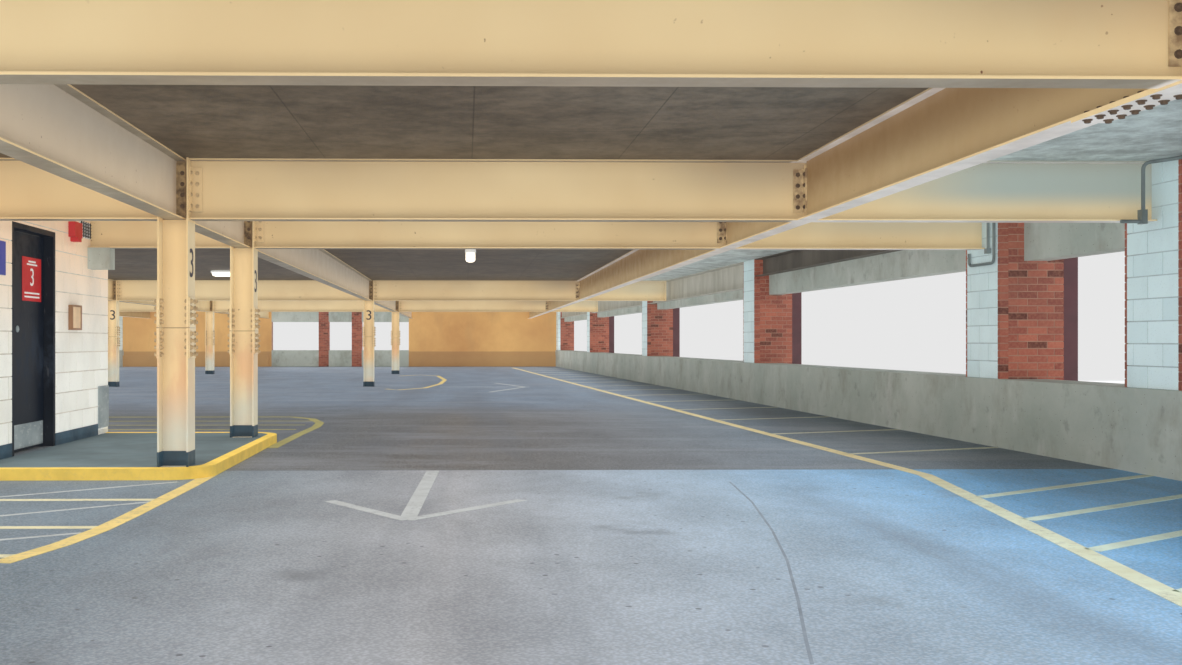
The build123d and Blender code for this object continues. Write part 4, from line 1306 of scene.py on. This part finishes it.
def island_markings(level):
    """Yellow kerb edge, and on covered levels the striped areas before and past the island."""
    floor = FLOORS[level]
    top = floor + ISLAND_HEIGHT
    edge_top = band(island_edge(KERB_EDGE_WIDTH / 2), KERB_EDGE_WIDTH)
    prism_piece(f"kerb_edge_top_level_{level + 1}", edge_top, top, top + PAINT_THICKNESS, KERB_YELLOW)
    edge_face = band(island_edge(0), KERB_FACE_WIDTH)
    prism_piece(f"kerb_edge_face_level_{level + 1}", edge_face, floor, top, KERB_YELLOW)
    if level >= COVERED:
        return
    sweep = traced(NEAR_SWEEP)
    road_paint("island_sweep", level, band(sweep, SWEEP_WIDTH), YELLOW)
    past = traced(FAR_SWEEP)
    left = LOBBY_HALF - 1.8
    past.append(Vector((left, past[-1].y)))
    road_paint("far_sweep", level, band(past, SWEEP_WIDTH), FADED_YELLOW)
    stripes = [stripe((left, end.y), end, STRIPE_WIDTH) for end in traced(FAR_STRIPES)]
    road_paint("far_hatch", level, stripes, FADED_YELLOW, 0.0002)
    left = -COLUMN_X + 0.4
    yellow = []
    for spot in traced(NEAR_STRIPES):
        yellow.append(stripe((left, spot.y), (sweep_x(sweep, spot.y) - 0.02, spot.y), STRIPE_WIDTH))
    white = []
    for pixels in WHITE_STRIPES:
        start, end = traced(pixels)
        white.append(stripe(start + (start - end) * 1.2, end, THIN_STRIPE_WIDTH))
    road_paint("hatch_yellow", level, yellow, PALE_YELLOW, 0.0002)
    road_paint("hatch_white", level, white, WHITE_LINE, 0.0004)


def sweep_x(points, y):
    """X of a bent line at a station, held at its ends."""
    for low, high in zip(points[:-1], points[1:]):
        if low[1] <= y <= high[1]:
            share = (y - low[1]) / (high[1] - low[1])
            return low[0] + (high[0] - low[0]) * share
    return points[0][0] if y < points[0][1] else points[-1][0]


def base_bands():
    """Dark paint round the foot of the columns, on flanges and web, and round the foot of the core."""
    height = 0.062
    guard = 0.18
    skin = PAINT_THICKNESS
    depth = COLUMN_DEPTH / 2
    wide = COLUMN_WIDTH / 2
    inner = depth - COLUMN_FLANGE
    boxes = []
    for (z, y), side in product(frames(), SIDES):
        x = side * COLUMN_X
        if side > 0 and ISLAND_Y[0] < y < ISLAND_Y[1]:
            z += ISLAND_HEIGHT
        for face in SIDES:
            front = sorted((x + face * depth, x + face * (depth + skin)))
            boxes.append((*front, y - wide - skin, y + wide + skin, z, z + height))
            lips = sorted((x + face * depth, x + face * inner))
            cheeks = sorted((x + face * inner, x + face * (inner - skin)))
            for end in SIDES:
                boxes.append((*lips, *sorted((y + end * wide, y + end * (wide + skin))), z, z + height))
                boxes.append((*cheeks, *sorted((y + end * COLUMN_WEB / 2, y + end * wide)), z, z + height))
        for end in SIDES:
            ys = sorted((y + end * COLUMN_WEB / 2, y + end * (COLUMN_WEB / 2 + skin)))
            boxes.append((x - inner, x + inner, *ys, z, z + height))
    near, far = LOBBY_Y
    half = LOBBY_HALF
    for z in FLOORS[:COVERED]:
        top = z + height
        boxes += [(-half - skin, -half, near, far, z, top), (-half, half, near - skin, near, z, top),
                  (-half, half, far, far + skin, z, top), (half, half + skin, near, ISLAND_Y[0], z, top)]
        z += ISLAND_HEIGHT
        boxes += [(half, half + skin, ISLAND_Y[0], DOORWAY_Y[0], z, z + height),
                  (half, half + skin, DOORWAY_Y[1], far - guard, z, z + height)]
    boxes_piece("navy_base_bands", boxes, NAVY)


# Signs and fittings

# Level plate and lock of the doors, from the near end and above the island
PLATE_Y = 7.88
PLATE_WIDTH = 0.24
PLATE_FOOT = 0.715
PLATE_HEIGHT = 0.21
LOCK_Y = 7.82
LOCK_HEIGHT = 0.579


def numerals():
    """Each level's own number on the outer column flanges, and on the near web of the fourth frame."""
    size = 0.172
    lift = 0.0006
    middle_height = 0.89
    for level in range(COVERED):
        z = FLOORS[level] + middle_height
        text = str(level + 1)
        for side, tag in ((-1, "left"), (1, "right")):
            for index, y in enumerate(GRID_Y):
                x = side * (COLUMN_X + COLUMN_DEPTH / 2 + lift)
                place = facing((x, y, z), (0, side, 0), (0, 0, 1))
                text_piece(f"numeral_{text}_{index}_{tag}", text, size, 0.0012, place, NUMERAL)
            spot = (side * COLUMN_X, GRID_Y[3] - COLUMN_WEB / 2 - lift, z)
            place = facing(spot, (1, 0, 0), (0, 0, 1))
            text_piece(f"web_numeral_{text}_{tag}", text, size, 0.0012, place, NUMERAL)


def door_fittings(level, body):
    """Lock, red level plate and its lettering bars on one lobby door."""
    tag = f"level_{level + 1}"
    foot = FLOORS[level] + ISLAND_HEIGHT
    face = DOOR_FACE
    y0 = NEAR_Y + PLATE_Y
    y1 = y0 + PLATE_WIDTH
    low = foot + PLATE_FOOT
    high = low + PLATE_HEIGHT
    boxes_piece(f"level_plate_{tag}", [(face, face + 0.002, y0, y1, low, high)], RED, body=body)
    place = facing((face + 0.0025, (y0 + y1) / 2, (low + high) / 2 + 0.006), (0, 1, 0), (0, 0, 1))
    text_piece(f"level_plate_number_{tag}", str(level + 1), 0.12, 0.001, place, WHITE, body)
    skin = (face + 0.002, face + 0.003)
    bars = [(*skin, y0 + 0.075, y1 - 0.075, high - 0.024, high - 0.016),
            (*skin, y0 + 0.055, y1 - 0.055, high - 0.038, high - 0.03)]
    bars += [(*skin, y0 + 0.025, y1 - 0.025, low + lift, low + lift + 0.008) for lift in (0.016, 0.034)]
    boxes_piece(f"level_plate_bars_{tag}", bars, WHITE, body=body)
    profile = [(0.01, 0.005), (0.012, 0.006), (0.016, 0.003), (0.016, 0.0)]
    lock = lathe_mesh(f"lock_{tag}", profile, 16, [(0, 0, 0)])
    lock.transform(facing((face, NEAR_Y + LOCK_Y, foot + LOCK_HEIGHT), (0, 1, 0), (0, 0, 1)))
    add_object(f"lock_{tag}", lock, SHEET, body)


def core_fitting(name, boxes, material):
    """Boxes on the core beside every door: out of its wall, along from the near end, up from the island."""
    placed = []
    for level in range(COVERED):
        foot = FLOORS[level] + ISLAND_HEIGHT
        for x0, x1, y0, y1, low, high in boxes:
            plan = (LOBBY_HALF + x0, LOBBY_HALF + x1, NEAR_Y + y0, NEAR_Y + y1)
            placed.append((*plan, foot + low, foot + high))
    boxes_piece(name, placed, material)


def wall_fittings():
    """Alarm with its grille, call box and the plain blue plate beside the doors of the core."""
    alarm = [(0, 0.035, 8.375, 8.49, 1.062, 1.14), (0, 0.04, 8.405, 8.46, 1.04, 1.062)]
    core_fitting("alarm_boxes", alarm, RED)
    y0, y1 = 8.545, 8.71
    low, high = 1.078, 1.162
    back = 0.006
    core_fitting("alarm_grille_backs", [(0, back, y0, y1, low, high)], WHITE)
    grille = []
    for k in range(5):
        z = low + 0.006 + k * 0.0165
        bar = y0 + 0.006 + k * 0.035
        grille += [(back, 0.011, y0, y1, z, z + 0.004), (back, 0.012, bar, bar + 0.005, low, high)]
    core_fitting("alarm_grilles", grille, DARK)
    y0, y1 = 8.385, 8.51
    low, high = 0.59, 0.7
    rim = 0.01
    proud = 0.022
    core_fitting("call_boxes", [(0, 0.018, y0, y1, low, high)], CALL_PANEL)
    rims = [(0, proud, y0 - rim, y0, low - rim, high + rim), (0, proud, y1, y1 + rim, low - rim, high + rim),
            (0, proud, y0, y1, low - rim, low), (0, proud, y0, y1, high, high + rim)]
    core_fitting("call_box_frames", rims, BRONZE)
    core_fitting("plain_blue_plates", [(0, 0.003, 7.41, 7.56, 0.815, 0.965)], BLUE)


def lamps():
    """Glass jar lamps with white caps under the third beam."""
    aside = 2.84
    jars = [(side * aside, GRID_Y[2], floor + BEAM_BOTTOM) for floor in FLOORS[:COVERED] for side in SIDES]
    cap = [(0.02, 0.0), (0.029, -0.004), (0.0298, -0.01), (0.0298, -0.022), (0.026, -0.025), (0.02, -0.025)]
    piece = add_object("jar_lamp_caps", lathe_mesh("jar_lamp_caps", cap, 24, jars), WHITE)
    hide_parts("jar_lamps")
    glass = [(0.022, -0.024)]
    for k in range(5):
        z = -0.028 - k * 0.008
        glass += [(0.0265, z), (0.025, z - 0.004)]
    glass += [(0.022, -0.068), (0.014, -0.0735)]
    lamp = add_object("jar_lamp_glasses", lathe_mesh("jar_lamp_glasses", glass, 24, jars), LIT)
    for polygon in lamp.data.polygons:
        polygon.use_smooth = len(polygon.vertices) == 4


def oval_ring(centre, length, width, drop):
    """Ring of points on an oval outline, long along X, at one height."""
    segments = 8
    ring = []
    straight = (length - width) / 2
    for end in (1, -1):
        for k in range(segments + 1):
            angle = pi * k / segments - pi / 2
            x = end * (straight + width / 2 * cos(angle))
            y = end * width / 2 * sin(angle)
            ring.append((centre[0] + x, centre[1] + y, centre[2] - drop))
    return ring


def oval_lamps():
    """Oval bulkhead lamps on the soffit, one before each of the last two frames."""
    rims = []
    lenses = []
    aside = 0.2
    before_frame = 1.95
    rim_rings = ((0.298, 0.148, 0.0), (0.298, 0.148, 0.016), (0.286, 0.136, 0.022), (0.272, 0.122, 0.022))
    lens_rings = ((0.272, 0.122, 0.018), (0.268, 0.118, 0.036), (0.25, 0.1, 0.05), (0.2, 0.06, 0.058))
    for level in range(COVERED):
        for y in GRID_Y[3:]:
            centre = (aside, y - before_frame, FLOORS[level] + SOFFIT)
            rims.append([oval_ring(centre, *ring) for ring in rim_rings])
            lenses.append([oval_ring(centre, *ring) for ring in lens_rings])
    rim = add_object("oval_lamp_rims", skin_mesh("oval_lamp_rims", rims), WHITE)
    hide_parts("oval_lamps")
    add_object("oval_lamp_lenses", skin_mesh("oval_lamp_lenses", lenses), LIT)


def conduits():
    """Conduit along the top of the right wall, with its drops and loop at the second and third piers."""
    radius = 0.008
    clear = radius + 0.003
    along_start, along_end = 4.65, 7.06
    beam_drop = (5.665, NEAR_Y + 7.194)
    loop_start, loop_end = 8.571, 8.85
    pier_drop = 8.634
    routes = []
    boxes = []

    def at(station, height):
        """Place of the conduit on the right wall."""
        y = NEAR_Y + station
        return (wall_x(y, -clear), y, height)

    def junction(x, y, low, high):
        """Box round the end of a drop."""
        return (x - 0.014, x + 0.009, y - 0.018, y + 0.018, low, high)

    for level in range(COVERED):
        top = FLOORS[level] + SOFFIT - clear
        foot = FLOORS[level] + BEAM_BOTTOM
        x, y = beam_drop
        routes.append([at(along_start, top), at(along_end, top), (x, y, top), (x, y, foot + 0.03)])
        boxes.append(junction(x, y, foot - 0.015, foot + 0.045))
        routes.append([(x - 0.01, y, foot - 0.004), (x - 0.095, y, foot - 0.004)])
        loop = foot - 0.085
        routes.append([at(loop_start - 0.016, top), at(loop_start, top), at(loop_start, loop),
                       at(loop_end, loop), at(loop_end, foot - 0.015)])
        routes.append([at(pier_drop, top), at(pier_drop, foot - 0.01)])
        x, y, z = at(pier_drop, foot)
        boxes.append(junction(x, y, z - 0.03, z - 0.002))
    tube_piece("wall_conduits", routes, radius, GALVANISED)
    boxes_piece("conduit_boxes", boxes, GALVANISED)


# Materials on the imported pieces

NODE_MATERIALS = {
    "frame_steel": CREAM, "deck_concrete": DECK, "panel_concrete": PANEL, "brick": BRICKS,
    "block_paint": BLOCKS_WARM, "end_wall": END_WALL_PAINT, "kerb": KERB, "door_paint": BLACK,
    "kick_steel": SHEET, "guard_steel": SHEET, "lamp_jar": GLASS, "lamp_oval": LIT, "fin_steel": FIN,
}
NODE_PAINT = {"edge_beams": EDGE_STEEL}


def dress_nodes():
    """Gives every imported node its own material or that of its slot."""
    slots = {part["node"]: part["material_slot"] for part in frame["record"]["subparts"]}
    for name, node in frame["nodes"].items():
        node.data.materials.clear()
        node.data.materials.append(NODE_PAINT.get(name, NODE_MATERIALS[slots[name]]))


# Camera, light and stage


def add_camera():
    """The photograph's camera, with its frame shifted as in the photograph."""
    camera = bpy.data.cameras.new("camera")
    camera.sensor_width = SENSOR_WIDTH
    camera.lens = LENS
    camera.shift_x = (IMAGE_CENTRE_PX[0] - PRINCIPAL_PX[0]) / IMAGE_WIDTH_PX
    camera.shift_y = (PRINCIPAL_PX[1] - IMAGE_CENTRE_PX[1]) / IMAGE_WIDTH_PX
    camera.clip_start = 0.01
    camera.clip_end = 400
    place = bpy.data.objects.new("camera", camera)
    place.location = CAMERA_PLACE
    place.rotation_euler = (pi / 2, 0, -CAMERA_YAW)
    bpy.context.scene.collection.objects.link(place)
    bpy.context.scene.camera = place


def add_lamp(name, kind, direction, energy, colour, place=(0, 0, 0), **settings):
    """A light that shines in a direction."""
    light = bpy.data.lights.new(name, kind)
    light.energy = energy
    light.color = colour
    for key, value in settings.items():
        setattr(light, key, value)
    lamp = bpy.data.objects.new(name, light)
    lamp.location = place
    lamp.rotation_euler = Vector(direction).to_track_quat("-Z", "Y").to_euler()
    bpy.context.scene.collection.objects.link(lamp)
    return lamp


def area_light(name, place, size, direction, level, colour, spread=pi):
    """Soft rectangular light that the camera doesn't see; level 1 shows a colour as written."""
    width, length = size
    lamp = add_lamp(name, "AREA", direction, level * pi * width * length, colour, place,
                    shape="RECTANGLE", size=width, size_y=length, spread=spread)
    lamp.visible_camera = False
    lamp.visible_glossy = False


def fill_sun(name, direction, level, colour, shadow=False):
    """Weak wide light from one direction, on the same scale as the area lights."""
    add_lamp(name, "SUN", direction, level * pi, colour, angle=radians(60), use_shadow=shadow)


def add_lights():
    """Even light inside every level, and soft fills that round the outside off."""
    length = FAR_Y - NEAR_Y - 1
    middle = (NEAR_Y + FAR_Y) / 2
    width = 9.5
    for level in range(COVERED):
        floor = FLOORS[level]
        area_light(f"floor_bounce_{level}", (0, middle, floor + 0.06), (width, length), (0, 0, 1),
                   0.66, (1.0, 0.98, 0.96))
        area_light(f"under_beams_{level}", (0, middle, floor + BEAM_BOTTOM - 0.02), (width, length),
                   (0, 0, -1), 0.88, (1.0, 1.0, 1.0), radians(60))
    fill_sun("fill_forward", (0.1, 1, 0.12), 0.66, (1.0, 0.99, 0.97))
    fill_sun("fill_back", (-0.1, -1, -0.1), 0.36, (1, 1, 1))
    fill_sun("fill_right", (1, 0.1, 0), 0.46, (0.97, 0.98, 1))
    fill_sun("fill_left", (-1, 0.1, 0), 0.44, (0.97, 0.98, 1))
    fill_sun("sky_sun", (0.3, 0.4, -1), 0.35, (1, 0.99, 0.97), True)


def add_world():
    """Pale to the camera and in reflections, and a soft even light on the part."""
    world = bpy.data.worlds.new("world")
    bpy.context.scene.world = world
    world.use_nodes = True
    tree = world.node_tree
    tree.nodes.clear()
    rays = tree.nodes.new("ShaderNodeLightPath")
    shown = rays.outputs["Is Camera Ray"]
    for kind in ("Is Glossy Ray", "Is Transmission Ray"):
        either = tree.nodes.new("ShaderNodeMath")
        either.operation = "MAXIMUM"
        tree.links.new(shown, either.inputs[0])
        tree.links.new(rays.outputs[kind], either.inputs[1])
        shown = either.outputs[0]
    pale = tree.nodes.new("ShaderNodeBackground")
    pale.inputs["Strength"].default_value = 1.0
    soft = tree.nodes.new("ShaderNodeBackground")
    soft.inputs["Color"].default_value = (0.96, 0.98, 1.0, 1)
    soft.inputs["Strength"].default_value = 0.6
    mix = tree.nodes.new("ShaderNodeMixShader")
    output = tree.nodes.new("ShaderNodeOutputWorld")
    tree.links.new(shown, mix.inputs[0])
    tree.links.new(soft.outputs[0], mix.inputs[1])
    tree.links.new(pale.outputs[0], mix.inputs[2])
    tree.links.new(mix.outputs[0], output.inputs[0])


def add_stage():
    """Plain pale ground round the building."""
    mesh = bpy.data.meshes.new("stage_floor")
    half = 90.0
    height = -0.002
    corners = [(x * half, y * half, height) for x, y in ((-1, -1), (1, -1), (1, 1), (-1, 1))]
    mesh.from_pydata(corners, [], [[0, 1, 2, 3]])
    floor = bpy.data.objects.new("stage_floor", mesh)
    bpy.context.scene.collection.objects.link(floor)
    paint = Paint("stage_paint", 0.9)
    mesh.materials.append(paint.finish((0.92, 0.92, 0.92)))


dress_nodes()
pier_set("right_piers", side_piers(), "brick_piers_right", on_right_wall, True, 1)
pier_set("left_piers", side_piers(), "brick_piers_left", on_left_wall, False, 2)
pier_set("front_piers", front_piers(), "front_brick_piers", seed=3)
pier_set("rear_piers", rear_piers(), "rear_brick_piers", seed=4)
for level in range(COVERED + 1):
    lobby_walls(level)
    island_markings(level)
block_facings()
pier_cheeks()
rear_walls()
bolts_piece("splice_bolts", splice_bolts(), 0.008, 0.013)
bolts_piece("cleat_bolts", cleat_bolts(), 0.006, 0.006)
bolts_piece("girder_bolts", girder_cleats(), 0.0065, 0.007, RUSTY_BOLT)
bolts_piece("strap_bolts", strap_bolts(), 0.0075, 0.008, RUSTY_BOLT)
bolts_piece("column_line_bolts", column_line_plates(), 0.0065, 0.007, RUSTY_BOLT)
for level in range(COVERED):
    floor_markings(level)
base_bands()
numerals()
for level in range(COVERED + 1):
    body = DOOR_BODY if level == SHOWN_LEVEL else BODY
    door_fittings(level, body)
wall_fittings()
lamps()
oval_lamps()
conduits()
add_camera()
add_lights()
add_world()
add_stage()
bpy.context.scene.view_settings.view_transform = "Standard"
